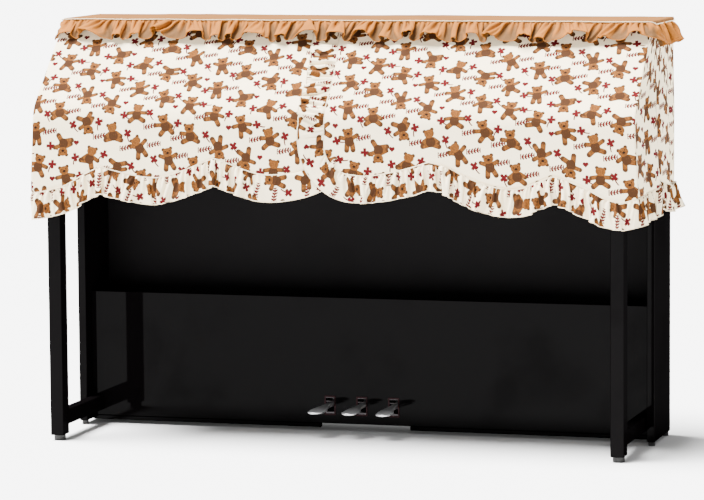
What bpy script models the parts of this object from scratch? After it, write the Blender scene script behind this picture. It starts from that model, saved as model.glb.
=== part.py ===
"""Frilled cotton cover on an upright digital piano.

Metres, Z up. X runs to the player's right and Y to the back. The origin is on the floor, under
the middle of the piano. The cover is a tan top, printed front halves, sides and back, and gathered
frills. Each piece is a thin sheet, bent to the shape in which it hangs.
"""

from math import atan2, ceil, copysign, cos, hypot, pi, radians, sin, sqrt

import bmesh
import bpy
from mathutils import Vector

# ---------------------------------------------------------------- the piano's sizes

GAP = 0.0003  # between pieces that touch

HALF_WIDTH = 0.7195
HEIGHT = 0.9997
BOARD = 0.019  # thickness of the side boards and the top board
SIDE_FRONT, SIDE_BACK, SIDE_LOW = 0.042, 0.227, 0.010
TOP_BOARD_FRONT = 0.003
KEYBED_FRONT, KEYBED_LOW, KEYBED_TOP, LID_TOP = -0.210, 0.617, 0.700, 0.786
MUSIC_PANEL_FRONT = 0.015
BACK_BOARD_FRONT, BACK_BOARD_BACK, BACK_BOARD_LOW = 0.208, 0.222, 0.060
LEG_OUTER, LEG_INNER = 0.6995, 0.668
LEG_FRONT, LEG_BACK, LEG_LOW = -0.2085, -0.166, 0.013
FOOT_BAR_OUTER, FOOT_BAR_INNER, FOOT_BAR_LOW, FOOT_BAR_HIGH = 0.697, 0.6705, 0.034, 0.070
GLIDE_RADIUS, SMALL_GLIDE_RADIUS = 0.014, 0.008

PANEL_FRONT, PANEL_BACK, PANEL_LOW, PANEL_TOP = 0.080, 0.095, 0.020, 0.328
RAIL_LOW, RAIL_FRONT, RAIL_END = 0.009, 0.083, 0.112

PEDAL_PITCH, PEDAL_SPLAY, PEDAL_MIDDLE = 0.080, 0.005, -0.007
PEDAL_TIP, PEDAL_PIVOT = -0.048, 0.128  # Y of the tip and of the hinge
PEDAL_LOW, PEDAL_THICK = 0.061, 0.010
PEDAL_Z = PEDAL_LOW + PEDAL_THICK / 2
PEDAL_ROOT, PEDAL_SPOON = 0.008, 0.0185  # half widths
BOSS_RADIUS, ROD_RADIUS, ROD_PLAY = 0.010, 0.004, 0.0004
SLOT_HALF, SLOT_LOW, SLOT_HIGH = 0.01075, 0.044, 0.085
GUIDE_RIM, GUIDE_THICK = 0.003, 0.002
LUG, LUG_TOP, UNIT_LOW, UNIT_THICK = 0.008, 0.084, 0.022, 0.006

# ---------------------------------------------------------------- the cover's sizes

CLOTH = 0.0016
FRILL_CLOTH = 0.0012
COVER_TOP = HEIGHT + GAP + CLOTH
TOP_EDGE, COVER_BACK = -0.005, 0.231  # Y of the top's front and back edges
FOLD_Y, FOLD_Z = -0.219, 0.793  # where the front turns down over the lid
FOLD_SOFT = 0.030  # length of cloth that bends on each side of that fold
HALF_TOP, HALF_FOLD, HALF_HEM, HALF_BACK = 0.7236, 0.7275, 0.735, 0.7275
CORNER = 0.012  # radius of the hem frill round the front corners
FULL_WIDTH_Z = 0.60  # the height at which the front has its full width
BACK_DROP = 0.62
TOP_SEAM = 0.0018  # from the top's edge to the front halves' cut edge

# The front halves lap at the middle, the right over the left.
LAP_TOP, LAP_EDGE = -0.022, -0.006
LAP_SINK = 0.0030  # how far the left half lies back under the lap
LAP_ROUND = 0.066  # radius of the right half's lower corner

TOP_FRILL, HEM_FRILL = 0.060, 0.064
EDGING_LOW, EDGING_HIGH, EDGING_THICK = 0.0004, 0.0050, 0.0010
HEM_PITCH = 0.042

# The seam between the panels and the hem frill. "along" is a length round the cover from the
# middle of the front: the front ends at 0.735 and a side at 1.176. Peaks are the scallops' ends.
SEAM = [
    {"along": -1.176, "z": 0.618},
    {"along": -1.120, "z": 0.613},
    {"along": -1.060, "z": 0.613},
    {"along": -1.000, "z": 0.623},
    {"along": -0.950, "z": 0.637},
    {"along": -0.900, "z": 0.621},
    {"along": -0.850, "z": 0.609},
    {"along": -0.790, "z": 0.600},
    {"along": -0.735, "z": 0.596},
    {"along": -0.692, "z": 0.603},
    {"along": -0.650, "z": 0.615},
    {"along": -0.604, "z": 0.641},
    {"along": -0.562, "z": 0.662},
    {"along": -0.526, "z": 0.653},
    {"along": -0.488, "z": 0.645},
    {"along": -0.450, "z": 0.639},
    {"along": -0.410, "z": 0.639},
    {"along": -0.362, "z": 0.653},
    {"along": -0.318, "z": 0.670},
    {"along": -0.278, "z": 0.686},
    {"along": -0.236, "z": 0.672},
    {"along": -0.198, "z": 0.659},
    {"along": -0.160, "z": 0.650},
    {"along": -0.112, "z": 0.651},
    {"along": -0.063, "z": 0.660},
    {"along": -0.020, "z": 0.677},
    {"along": 0.030, "z": 0.695},
]
RIGHT_SEAM = [
    {"along": 0.060, "z": 0.6525},
    {"along": 0.090, "z": 0.650},
    {"along": 0.142, "z": 0.657},
    {"along": 0.194, "z": 0.669},
    {"along": 0.245, "z": 0.685},
    {"along": 0.288, "z": 0.674},
    {"along": 0.332, "z": 0.653},
    {"along": 0.382, "z": 0.634},
    {"along": 0.426, "z": 0.626},
    {"along": 0.464, "z": 0.628},
    {"along": 0.500, "z": 0.642},
    {"along": 0.5365, "z": 0.657},
    {"along": 0.572, "z": 0.647},
    {"along": 0.618, "z": 0.628},
    {"along": 0.662, "z": 0.606},
    {"along": 0.698, "z": 0.600},
    {"along": 0.735, "z": 0.609},
    {"along": 0.790, "z": 0.612},
    {"along": 0.850, "z": 0.615},
    {"along": 0.900, "z": 0.624},
    {"along": 0.950, "z": 0.637},
    {"along": 1.000, "z": 0.624},
    {"along": 1.060, "z": 0.613},
    {"along": 1.120, "z": 0.611},
    {"along": 1.176, "z": 0.613},
]

# The top frill's folds in order: left side from the back, then the front, then the right side.
# "wide" is the length of seam, "out" the height of the fold at the free edge.
TOP_FOLDS = [
    {"wide": 0.082, "out": 0.020},
    {"wide": 0.070, "out": 0.015},
    {"wide": 0.084, "out": 0.025},
    {"wide": 0.063, "out": 0.014},
    {"wide": 0.077, "out": 0.023},
    {"wide": 0.045, "out": 0.014},
    {"wide": 0.051, "out": 0.016},
    {"wide": 0.083, "out": 0.025},
    {"wide": 0.063, "out": 0.023},
    {"wide": 0.048, "out": 0.012},
    {"wide": 0.035, "out": 0.014},
    {"wide": 0.087, "out": 0.020},
    {"wide": 0.054, "out": 0.015},
    {"wide": 0.064, "out": 0.026},
    {"wide": 0.079, "out": 0.022},
    {"wide": 0.063, "out": 0.026},
    {"wide": 0.039, "out": 0.012},
    {"wide": 0.056, "out": 0.024},
    {"wide": 0.072, "out": 0.022},
    {"wide": 0.032, "out": 0.010},
    {"wide": 0.053, "out": 0.021},
    {"wide": 0.065, "out": 0.020},
    {"wide": 0.066, "out": 0.018},
    {"wide": 0.036, "out": 0.013},
    {"wide": 0.106, "out": 0.026},
    {"wide": 0.060, "out": 0.013},
    {"wide": 0.050, "out": 0.021},
    {"wide": 0.084, "out": 0.021},
    {"wide": 0.072, "out": 0.016},
    {"wide": 0.080, "out": 0.024},
]

# ---------------------------------------------------------------- scene and materials

for leftover in list(bpy.data.objects):
    bpy.data.objects.remove(leftover, do_unlink=True)

parts = bpy.data.collections.new("piano_cover")
cutters = bpy.data.collections.new("cutters")
bpy.context.scene.collection.children.link(parts)
bpy.context.scene.collection.children.link(cutters)

PRINTED = {"colour": (0.83, 0.76, 0.66), "roughness": 0.9, "metallic": 0.0}
TAN = {"colour": (0.62, 0.40, 0.24), "roughness": 0.9, "metallic": 0.0}
CREAM = {"colour": (0.88, 0.82, 0.72), "roughness": 0.9, "metallic": 0.0}
BLACK = {"colour": (0.010, 0.009, 0.010), "roughness": 0.12, "metallic": 0.0}
DARK_BOARD = {"colour": (0.012, 0.011, 0.012), "roughness": 0.4, "metallic": 0.0}
STEEL = {"colour": (0.55, 0.55, 0.56), "roughness": 0.35, "metallic": 1.0}
CHROME = {"colour": (0.80, 0.80, 0.82), "roughness": 0.08, "metallic": 1.0}
RUBBER = {"colour": (0.02, 0.02, 0.02), "roughness": 0.8, "metallic": 0.0}


def add(name, mesh, finish, collection=parts):
    """A new object with this mesh and a material of its own."""
    material = bpy.data.materials.new(name)
    material.use_nodes = True
    shader = material.node_tree.nodes["Principled BSDF"]
    shader.inputs["Base Color"].default_value = (*finish["colour"], 1.0)
    shader.inputs["Roughness"].default_value = finish["roughness"]
    shader.inputs["Metallic"].default_value = finish["metallic"]
    material.diffuse_color = (*finish["colour"], 1.0)
    mesh.materials.append(material)
    made = bpy.data.objects.new(name, mesh)
    collection.objects.link(made)
    return made


# ---------------------------------------------------------------- shapes of the cabinet


def board(name, low, high, finish, edge=0.0015, collection=parts):
    """A box between two corners, with eased edges."""
    mesh = bpy.data.meshes.new(name)
    form = bmesh.new()
    bmesh.ops.create_cube(form, size=1.0)
    bmesh.ops.scale(form, vec=[b - a for a, b in zip(low, high)], verts=form.verts)
    form.to_mesh(mesh)
    form.free()
    made = add(name, mesh, finish, collection)
    made.location = [(a + b) / 2 for a, b in zip(low, high)]
    if edge:
        bevel = made.modifiers.new("eased edges", "BEVEL")
        bevel.width = edge
        bevel.segments = 1
    return made


def cylinder(name, radius, length, centre, finish, turned=(0, 0, 0), collection=parts):
    """A round bar along Z, or turned from it."""
    mesh = bpy.data.meshes.new(name)
    form = bmesh.new()
    bmesh.ops.create_cone(
        form, cap_ends=True, segments=24, radius1=radius, radius2=radius, depth=length
    )
    form.to_mesh(mesh)
    form.free()
    mesh.shade_smooth()
    mesh.set_sharp_from_angle(angle=radians(40))
    made = add(name, mesh, finish, collection)
    made.location = centre
    made.rotation_euler = turned
    return made


ALONG_X = (0, pi / 2, 0)


def outlined(name, outline, thick, centre, finish):
    """A flat outline in X and Y about the centre, thickened evenly up and down."""
    curve = bpy.data.curves.new(name, "CURVE")
    curve.dimensions = "2D"
    curve.fill_mode = "BOTH"
    curve.extrude = thick / 2
    line = curve.splines.new("POLY")
    line.points.add(len(outline) - 1)
    for point, (x, y) in zip(line.points, outline):
        point.co = (x, y, 0.0, 1.0)
    line.use_cyclic_u = True
    drawn = bpy.data.objects.new(name + "_outline", curve)
    parts.objects.link(drawn)
    bpy.context.view_layer.update()
    mesh = bpy.data.meshes.new_from_object(
        drawn.evaluated_get(bpy.context.evaluated_depsgraph_get())
    )
    bpy.data.objects.remove(drawn)
    form = bmesh.new()
    form.from_mesh(mesh)
    bmesh.ops.remove_doubles(form, verts=form.verts, dist=1e-6)
    bmesh.ops.recalc_face_normals(form, faces=form.faces)
    form.to_mesh(mesh)
    form.free()
    made = add(name, mesh, finish)
    made.location = centre
    return made


def cut(target, cutter, operation="DIFFERENCE"):
    """Cuts the cutter out of the target, or joins it on."""
    cutter.hide_render = True
    cutter.display_type = "WIRE"
    tool = target.modifiers.new(cutter.name, "BOOLEAN")
    tool.operation = operation
    tool.solver = "EXACT"
    tool.object = cutter


# ---------------------------------------------------------------- the cabinet


def between(side, inner, outer):
    """Two distances from the middle as X values in rising order, on one side."""
    return sorted((side * inner, side * outer))


def make_side(word, side):
    """One side of the cabinet: side board, key cheek, leg, foot bar, glides and bottom rail."""
    low_x, high_x = between(side, HALF_WIDTH - BOARD, HALF_WIDTH)
    board(
        f"side_board_{word}",
        (low_x, SIDE_FRONT, SIDE_LOW),
        (high_x, SIDE_BACK, HEIGHT - BOARD - GAP),
        BLACK,
    )
    board(
        f"key_cheek_{word}",
        (low_x, KEYBED_FRONT, KEYBED_LOW),
        (high_x, SIDE_FRONT - GAP, LID_TOP),
        BLACK,
    )
    low_x, high_x = between(side, LEG_INNER, LEG_OUTER)
    board(
        f"leg_{word}",
        (low_x, LEG_FRONT, LEG_LOW),
        (high_x, LEG_BACK, KEYBED_LOW - GAP),
        BLACK,
    )
    low_x, high_x = between(side, FOOT_BAR_INNER, FOOT_BAR_OUTER)
    board(
        f"foot_bar_{word}",
        (low_x, LEG_BACK + GAP, FOOT_BAR_LOW),
        (high_x, PANEL_FRONT - GAP, FOOT_BAR_HIGH),
        BLACK,
    )
    leg_x, leg_y = (LEG_INNER + LEG_OUTER) / 2, (LEG_FRONT + LEG_BACK) / 2
    side_x, inset = HALF_WIDTH - BOARD / 2, SMALL_GLIDE_RADIUS + 0.006
    small, large = SMALL_GLIDE_RADIUS, GLIDE_RADIUS
    glides = [
        {"place": "front", "x": leg_x, "y": leg_y, "radius": large, "under": LEG_LOW},
        {"place": "middle", "x": side_x, "y": SIDE_FRONT + inset, "radius": small, "under": SIDE_LOW},
        {"place": "back", "x": side_x, "y": SIDE_BACK - inset, "radius": small, "under": SIDE_LOW},
    ]
    for row in glides:
        tall = row["under"] - GAP
        centre = (side * row["x"], row["y"], tall / 2)
        cylinder(f"glide_{row['place']}_{word}", row["radius"], tall, centre, RUBBER)
    low_x, high_x = between(side, RAIL_END, HALF_WIDTH - BOARD - GAP)
    board(
        f"bottom_rail_{word}",
        (low_x, RAIL_FRONT, RAIL_LOW),
        (high_x, PANEL_BACK, PANEL_LOW - GAP),
        BLACK,
    )


make_side("left", -1)
make_side("right", 1)

inside = HALF_WIDTH - BOARD - GAP
board(
    "top_board",
    (-HALF_WIDTH, TOP_BOARD_FRONT, HEIGHT - BOARD),
    (HALF_WIDTH, SIDE_BACK, HEIGHT),
    BLACK,
)
board(
    "keybed",
    (-inside, KEYBED_FRONT, KEYBED_LOW),
    (inside, BACK_BOARD_FRONT - GAP, KEYBED_TOP),
    BLACK,
)
board(
    "key_lid",
    (-inside, KEYBED_FRONT, KEYBED_TOP + GAP),
    (inside, MUSIC_PANEL_FRONT + BOARD, LID_TOP),
    BLACK,
    edge=0.006,
)
board(
    "music_panel",
    (-inside, MUSIC_PANEL_FRONT, LID_TOP + GAP),
    (inside, MUSIC_PANEL_FRONT + BOARD, HEIGHT - BOARD - GAP),
    BLACK,
)
board(
    "back_board",
    (-inside, BACK_BOARD_FRONT, BACK_BOARD_LOW),
    (inside, BACK_BOARD_BACK, HEIGHT - BOARD - GAP),
    DARK_BOARD,
)
lower_panel = board(
    "lower_panel",
    (-inside, PANEL_FRONT, PANEL_LOW),
    (inside, PANEL_BACK, PANEL_TOP),
    BLACK,
)

# ---------------------------------------------------------------- pedals

LUG_XS = [(i - 1.5) * PEDAL_PITCH for i in range(4)]
UNIT_HALF = LUG_XS[-1] + LUG
LUG_BACK = PEDAL_PIVOT + 0.020


def make_pedal_unit():
    """A plate behind the panel, with lugs that hold the pedals' rod."""
    unit = board(
        "pedal_unit",
        (-UNIT_HALF, PANEL_BACK + GAP, UNIT_LOW),
        (UNIT_HALF, LUG_BACK + 0.008, UNIT_LOW + UNIT_THICK),
        STEEL,
        edge=0,
    )
    for i, x in enumerate(LUG_XS):
        lug = board(
            f"lug_{i}",
            (x - LUG / 2, PANEL_BACK + GAP, UNIT_LOW + UNIT_THICK / 2),
            (x + LUG / 2, LUG_BACK, LUG_TOP),
            STEEL,
            edge=0,
            collection=cutters,
        )
        cut(unit, lug, "UNION")
    centre = (0, PEDAL_PIVOT, PEDAL_Z)
    hole_radius = ROD_RADIUS + GAP
    hole = cylinder("rod_hole", hole_radius, 2 * UNIT_HALF + LUG, centre, STEEL, ALONG_X, cutters)
    cut(unit, hole)
    cylinder("pedal_rod", ROD_RADIUS, 2 * UNIT_HALF, centre, STEEL, ALONG_X)


def lever_outline(splay):
    """A pedal from above, about its hinge: a straight root that flares to a round spoon."""
    reach = PEDAL_PIVOT - PEDAL_TIP
    spoon_y = PEDAL_SPOON - reach
    panel_y = PANEL_FRONT - PEDAL_PIVOT
    right = [
        (PEDAL_ROOT, BOSS_RADIUS),
        (PEDAL_ROOT, panel_y - 0.016),
        (PEDAL_ROOT + 0.002, panel_y - 0.044),
        (PEDAL_SPOON - 0.003, spoon_y + 0.036),
    ]
    left = [(-x, y) for x, y in reversed(right)]
    turn = [
        (PEDAL_SPOON * cos(i * pi / 12), spoon_y - PEDAL_SPOON * sin(i * pi / 12))
        for i in range(13)
    ]
    return [
        (x + splay * max(0.0, panel_y - y) / (panel_y + reach), y) for x, y in right + turn + left
    ]


def make_pedal(word, place):
    """A pedal, its hinge bore, its slot in the panel and the guide round the slot."""
    x = place * PEDAL_PITCH + PEDAL_MIDDLE
    hinge = (x, PEDAL_PIVOT, PEDAL_Z)
    outline = lever_outline(place * PEDAL_SPLAY)
    pedal = outlined(f"pedal_{word}", outline, PEDAL_THICK, hinge, CHROME)
    boss = cylinder(
        f"boss_{word}", BOSS_RADIUS, 2 * PEDAL_ROOT, hinge, CHROME, ALONG_X, cutters
    )
    cut(pedal, boss, "UNION")
    bore_radius = ROD_RADIUS + ROD_PLAY
    bore = cylinder(
        f"bore_{word}", bore_radius, PEDAL_PITCH / 2, hinge, CHROME, ALONG_X, cutters
    )
    cut(pedal, bore)
    slot = board(
        f"slot_{word}",
        (x - SLOT_HALF, PANEL_FRONT - 0.02, SLOT_LOW),
        (x + SLOT_HALF, PANEL_BACK + 0.02, SLOT_HIGH),
        BLACK,
        edge=0,
        collection=cutters,
    )
    cut(lower_panel, slot)
    front = PANEL_FRONT - GAP
    guide = board(
        f"pedal_guide_{word}",
        (x - SLOT_HALF - GUIDE_RIM, front - GUIDE_THICK, SLOT_LOW - GUIDE_RIM),
        (x + SLOT_HALF + GUIDE_RIM, front, SLOT_HIGH + GUIDE_RIM),
        STEEL,
        edge=0,
    )
    cut(guide, slot)


make_pedal_unit()
for word, place in (("left", -1), ("middle", 0), ("right", 1)):
    make_pedal(word, place)

# ---------------------------------------------------------------- the cover's outer face

SLOPE_RUN, SLOPE_FALL = TOP_EDGE - FOLD_Y, COVER_TOP - FOLD_Z
SLOPE = hypot(SLOPE_RUN, SLOPE_FALL)
DOWN_SLOPE = Vector((0, -SLOPE_RUN, -SLOPE_FALL)) / SLOPE
OFF_SLOPE = Vector((0, -SLOPE_FALL, SLOPE_RUN)) / SLOPE
DOWN, FRONT = Vector((0, 0, -1)), Vector((0, -1, 0))
FRONT_FLAT = HALF_HEM - CORNER  # where the frill leaves the front for the corner
CORNER_ARC = CORNER * pi / 2


def mix(a, b, t):
    return a + (b - a) * t


def eased(t):
    """0 to 1 with a soft start and end."""
    t = min(1.0, max(0.0, t))
    return t * t * (3 - 2 * t)


def half_width(z):
    """Half of the front's width at this height."""
    if z > FOLD_Z:
        return mix(HALF_FOLD, HALF_TOP, (z - FOLD_Z) / SLOPE_FALL)
    return mix(HALF_FOLD, HALF_HEM, eased((FOLD_Z - z) / (FOLD_Z - FULL_WIDTH_Z)))


def front_section(below):
    """(point, outward direction) on the front at X 0, at a length of cloth below the fold line.
    Above the fold the length is negative and runs up the slope."""
    fold = Vector((0, FOLD_Y, FOLD_Z))
    if below < -FOLD_SOFT:
        return fold + DOWN_SLOPE * below, OFF_SLOPE
    if below > FOLD_SOFT:
        return fold + DOWN * below, FRONT
    t = (below + FOLD_SOFT) / (2 * FOLD_SOFT)
    start, end = fold - DOWN_SLOPE * FOLD_SOFT, fold + DOWN * FOLD_SOFT
    return start.lerp(fold, t).lerp(fold.lerp(end, t), t), OFF_SLOPE.lerp(FRONT, t).normalized()


def on_front(along, below, out):
    """A point that stands out from the front's face."""
    point, outward = front_section(below)
    point = point + outward * out
    point.x = along * half_width(point.z) / HALF_HEM
    return point


def side_half(y, z):
    """Distance of the side's face from the middle."""
    back = eased((y - FOLD_Y) / (COVER_BACK - FOLD_Y))
    rear = HALF_BACK if z < FOLD_Z else mix(HALF_BACK, HALF_TOP, (z - FOLD_Z) / SLOPE_FALL)
    return mix(half_width(z), rear, back)


def side_depth(along):
    """Y on the side at a length round the cover."""
    return FOLD_Y + CORNER + abs(along) - FRONT_FLAT - CORNER_ARC


def on_cover(along, below, out):
    """A point that stands out from the cover's face, on the front, a rounded corner or a side."""
    if abs(along) <= FRONT_FLAT:
        return on_front(along, below, out)
    side = copysign(1.0, along)
    z = FOLD_Z - below
    past = abs(along) - FRONT_FLAT
    if past >= CORNER_ARC:
        y = side_depth(along)
        return Vector((side * (side_half(y, z) + out), y, z))
    angle = past / CORNER
    x = (FRONT_FLAT + (CORNER + out) * sin(angle)) * half_width(z) / HALF_HEM
    return Vector((side * x, FOLD_Y + CORNER - (CORNER + out) * cos(angle), z))


def seam_height(along):
    """Height of the hem frill's seam, straight between the tables' rows."""
    rows = SEAM if along <= SEAM[-1]["along"] else RIGHT_SEAM
    for a, b in zip(rows, rows[1:]):
        if along <= b["along"]:
            break
    return mix(a["z"], b["z"], (along - a["along"]) / (b["along"] - a["along"]))


LAP_CORNER_Z = RIGHT_SEAM[0]["z"] + LAP_ROUND  # where the lap's straight edge ends


def lap_corner(share):
    """(along, z) on the right half's rounded lower corner."""
    angle = share * pi / 2
    return LAP_EDGE + LAP_ROUND * (1 - cos(angle)), LAP_CORNER_Z - LAP_ROUND * sin(angle)


def lap_edge(below):
    """Where the right half's edge runs, down the slope and the front."""
    return mix(LAP_TOP, LAP_EDGE, eased((SLOPE + below) / 0.20))


def lap_sink(along):
    """How far the left half lies back, from nothing beside the lap to the full depth under it."""
    return LAP_SINK * eased((along + 0.150) / 0.060)


def wrinkle(along, below):
    """Shallow waves of the hanging front, below the top frill."""
    waves = sin(9.0 * along + 1.0) + 0.7 * sin(17.0 * along + 5.0 * below + 2.0)
    ends = eased((SLOPE - TOP_FRILL + below) / 0.08) * eased((HALF_HEM - abs(along)) / 0.05)
    return 0.0008 * waves * ends


def steps(count, start=0.0, end=1.0):
    """Evenly spaced values from start to end."""
    return [mix(start, end, i / count) for i in range(count + 1)]


def sheet(name, us, vs, place, thickness, finish):
    """A sheet of cloth. place(u, v) gives its outer face from lists of values, u to the right as
    seen from outside and v downwards."""
    mesh = bpy.data.meshes.new(name)
    form = bmesh.new()
    columns, rows = len(us) - 1, len(vs) - 1
    bmesh.ops.create_grid(form, x_segments=columns, y_segments=rows, size=0.5)
    for vertex in form.verts:
        column = round((vertex.co.x + 0.5) * columns)
        row = round((0.5 - vertex.co.y) * rows)
        vertex.co = place(us[column], vs[row])
    form.to_mesh(mesh)
    form.free()
    mesh.shade_smooth()
    made = add(name, mesh, finish)
    cloth = made.modifiers.new("cloth", "SOLIDIFY")
    cloth.thickness = thickness
    cloth.offset = -1.0
    return made


# ---------------------------------------------------------------- top, edging and top frill


def top_place(x, v):
    """The top, flat on its board, with a slow lift towards the back edge."""
    y = mix(COVER_BACK, TOP_EDGE, v)
    inner = eased((HALF_TOP - abs(x)) / 0.1) * eased(12 * v) * (1 - v)
    lift = 0.0008 * (1 - cos(2 * pi * (1.7 * x + 0.2))) * inner
    return Vector((x, y, COVER_TOP + lift))


sheet("top_panel", steps(14, -HALF_TOP, HALF_TOP), steps(4), top_place, CLOTH, TAN)

TOP_DEPTH = COVER_BACK - TOP_EDGE
TOP_ROUND = 2 * (TOP_DEPTH + HALF_TOP)
FAN = 0.018  # of the edge on each side of a front corner, where the frill fans round it


def round_top(length, outset):
    """(point, outward direction, falling direction) on the top's edge, at a length from the back
    of the left side round the front to the back of the right side. Before a front corner the
    frill fans forward along the side, and at the corner it turns over the slope's edge."""
    side = Vector((-1, 0, 0)) if length < TOP_ROUND / 2 else Vector((1, 0, 0))
    past = past_corner(length)
    down = DOWN.lerp(DOWN_SLOPE, eased(past / FAN + 1.5)).normalized()
    out = side.lerp(OFF_SLOPE, eased(past / FAN + 0.5)).normalized()
    flat = Vector((out.x, out.y, 0)).normalized()
    point = Vector((side.x * (HALF_TOP - max(0.0, past)), TOP_EDGE + max(0.0, -past), COVER_TOP))
    return point + flat * outset, out, down


def past_corner(length):
    """Length on from the nearer front corner, negative on a side."""
    return min(length, TOP_ROUND - length) - TOP_DEPTH


def edging_place(length, z):
    """The narrow turned edge that stands up along the top's seam."""
    ruffle = 0.0003 * sin(length * 2 * pi / 0.060)
    point, _, _ = round_top(length, ruffle - 0.0004)
    return point + Vector((0, 0, z))


EDGING_STEPS = steps(64, 0.0, TOP_ROUND)
sheet("top_edging", EDGING_STEPS, [EDGING_HIGH, EDGING_LOW], edging_place, EDGING_THICK, CREAM)


def in_folds(folds, share):
    """(length of seam before the fold, the fold's row, phase in it), at a share of the folds."""
    index = min(len(folds) - 1, int(share * len(folds)))
    before = sum(row["wide"] for row in folds[:index])
    return before, folds[index], share * len(folds) - index


TOP_FOLDS_WIDE = sum(row["wide"] for row in TOP_FOLDS)


def top_frill_place(share, v):
    """The gathered strip round the top, in standing folds with tucked-in sides."""
    before, row, phase = in_folds(TOP_FOLDS, share)
    tuck = 0.08 * sin(4 * pi * phase) * v
    length = (before + row["wide"] * (phase + tuck)) * TOP_ROUND / TOP_FOLDS_WIDE
    point, out, down = round_top(min(TOP_ROUND, max(0.0, length)), 0.0)
    stand = row["out"] * (0.5 - 0.5 * cos(2 * pi * phase)) * v**1.3
    corner = 0.006 * eased(1.2 - abs(past_corner(length)) / FAN)
    clear = 0.0016 + v * (mix(0.0008, 0.0036, abs(out.x)) + corner)
    fall = sqrt((TOP_FRILL * v) ** 2 - stand**2)
    return point + out * (clear + stand) + down * (0.0012 + fall)


TOP_FRILL_STEPS = steps(8 * len(TOP_FOLDS))
sheet("top_frill", TOP_FRILL_STEPS, [0.0, 0.45, 1.0], top_frill_place, FRILL_CLOTH, TAN)

# ---------------------------------------------------------------- front halves, sides and back

# Rows of the front and the sides, as lengths below the fold. Those below the soft fold are
# stretched or squeezed to end on the seam.
ROWS = [TOP_SEAM - SLOPE, -0.235, -0.160, -0.090, -0.030, -0.015, 0.0, 0.015, 0.030, 0.080, 0.130]
LAP_STEPS = 4  # columns in the right half's rounded corner


def row_below(row, end_z):
    """A row's length below the fold, in a column that ends at a height on the seam."""
    if row <= FOLD_SOFT:
        return row
    return mix(FOLD_SOFT, FOLD_Z - end_z - GAP, (row - FOLD_SOFT) / (ROWS[-1] - FOLD_SOFT))


def left_place(along, row):
    below = row_below(row, seam_height(along))
    return on_front(along, below, wrinkle(along, below) - lap_sink(along))


def right_place(column, row):
    """The first columns end on the rounded corner, and the rest at the seam's rows."""
    if column <= LAP_STEPS:
        along, z = lap_corner(column / LAP_STEPS)
    else:
        along, z = RIGHT_SEAM[column - LAP_STEPS].values()
    below = row_below(row, z)
    if column == 0:
        along = lap_edge(below)
    return on_front(along, below, wrinkle(along, below))


left_columns = [row["along"] for row in SEAM if row["along"] >= -HALF_HEM]
right_rows = [row for row in RIGHT_SEAM if row["along"] <= HALF_HEM]
right_columns = list(range(LAP_STEPS + len(right_rows)))
sheet("front_panel_left", left_columns, ROWS, left_place, CLOTH, PRINTED)
sheet("front_panel_right", right_columns, ROWS, right_place, CLOTH, PRINTED)


side_columns = [FRONT_FLAT + CORNER_ARC]
side_columns += [row["along"] for row in RIGHT_SEAM if row["along"] > side_columns[0]]


def side_share(along):
    """A column's place from the side's front edge, 0, to its back edge, 1."""
    if along in (side_columns[0], side_columns[-1]):
        return 0.0 if along == side_columns[0] else 1.0
    front, back = FOLD_Y + CLOTH + GAP, COVER_BACK - CLOTH - GAP
    return (side_depth(along) - front) / (back - front)


def side_place(side, along, row):
    """A side: its front edge follows the front's slope, and its loose folds hang in between."""
    point, outward = front_section(row_below(row, seam_height(side * along)))
    z = min(point.z, COVER_TOP - CLOTH - GAP)
    front = point.y + (CLOTH + GAP) / abs(outward.y)
    share = side_share(along)
    y = mix(front, COVER_BACK - CLOTH - GAP, share)
    loose = 0.0030 * (1 - cos(2 * pi * (3 * share + 0.5 * z))) * eased((0.90 - z) / 0.12)
    edges = eased(5 * share) * eased(5 * (1 - share)) * eased((z - 0.62) / 0.05)
    return Vector((side * (side_half(y, z) + loose * edges), y, z))


def left_side_place(along, row):
    return side_place(-1, along, row)


def right_side_place(along, row):
    return side_place(1, along, row)


sheet("side_panel_left", side_columns[::-1], ROWS, left_side_place, CLOTH, PRINTED)
sheet("side_panel_right", side_columns, ROWS, right_side_place, CLOTH, PRINTED)


def back_place(u, v):
    """The back, which hangs plain in a few slow waves."""
    z = mix(COVER_TOP - CLOTH - GAP, BACK_DROP, v)
    wave = 0.0012 * (1 - cos(2 * pi * 4 * u)) * eased(2 * v)
    return Vector((mix(1, -1, u) * side_half(COVER_BACK, z), COVER_BACK + wave, z))


sheet("back_panel", steps(16), steps(3), back_place, CLOTH, PRINTED)

# ---------------------------------------------------------------- hem frills

PATH_STEP = 0.004


def close_points(line):
    """Points a few millimetres apart along a line of (along, below) points."""
    points = [line[0]]
    for a, b in zip(line, line[1:]):
        count = ceil(hypot(b[0] - a[0], b[1] - a[1]) / PATH_STEP)
        points += [(mix(a[0], b[0], t), mix(a[1], b[1], t)) for t in steps(count)[1:]]
    return points


def walk(line):
    """A path's points, each with its length and the direction in which the frill hangs there,
    smoothed so that the frill fans round corners and closes up at the scallops' ends."""
    points = close_points(line)
    reach = 6
    path = []
    length = 0.0
    for i, point in enumerate(points):
        before, after = points[max(0, i - reach)], points[min(len(points) - 1, i + reach)]
        angle = atan2(after[1] - before[1], after[0] - before[0])
        hang = angle * mix(0.4, 1.0, eased((abs(angle) - 0.8) / 0.7))
        if i:
            length += hypot(point[0] - points[i - 1][0], point[1] - points[i - 1][1])
        path.append({"length": length, "along": point[0], "below": point[1], "hang": hang})
    return path


def on_path(path, length):
    """(along, below, hang) at a length of the path."""
    for a, b in zip(path, path[1:]):
        if length <= b["length"]:
            break
    t = (length - a["length"]) / (b["length"] - a["length"])
    return [mix(a[key], b[key], t) for key in ("along", "below", "hang")]


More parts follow.
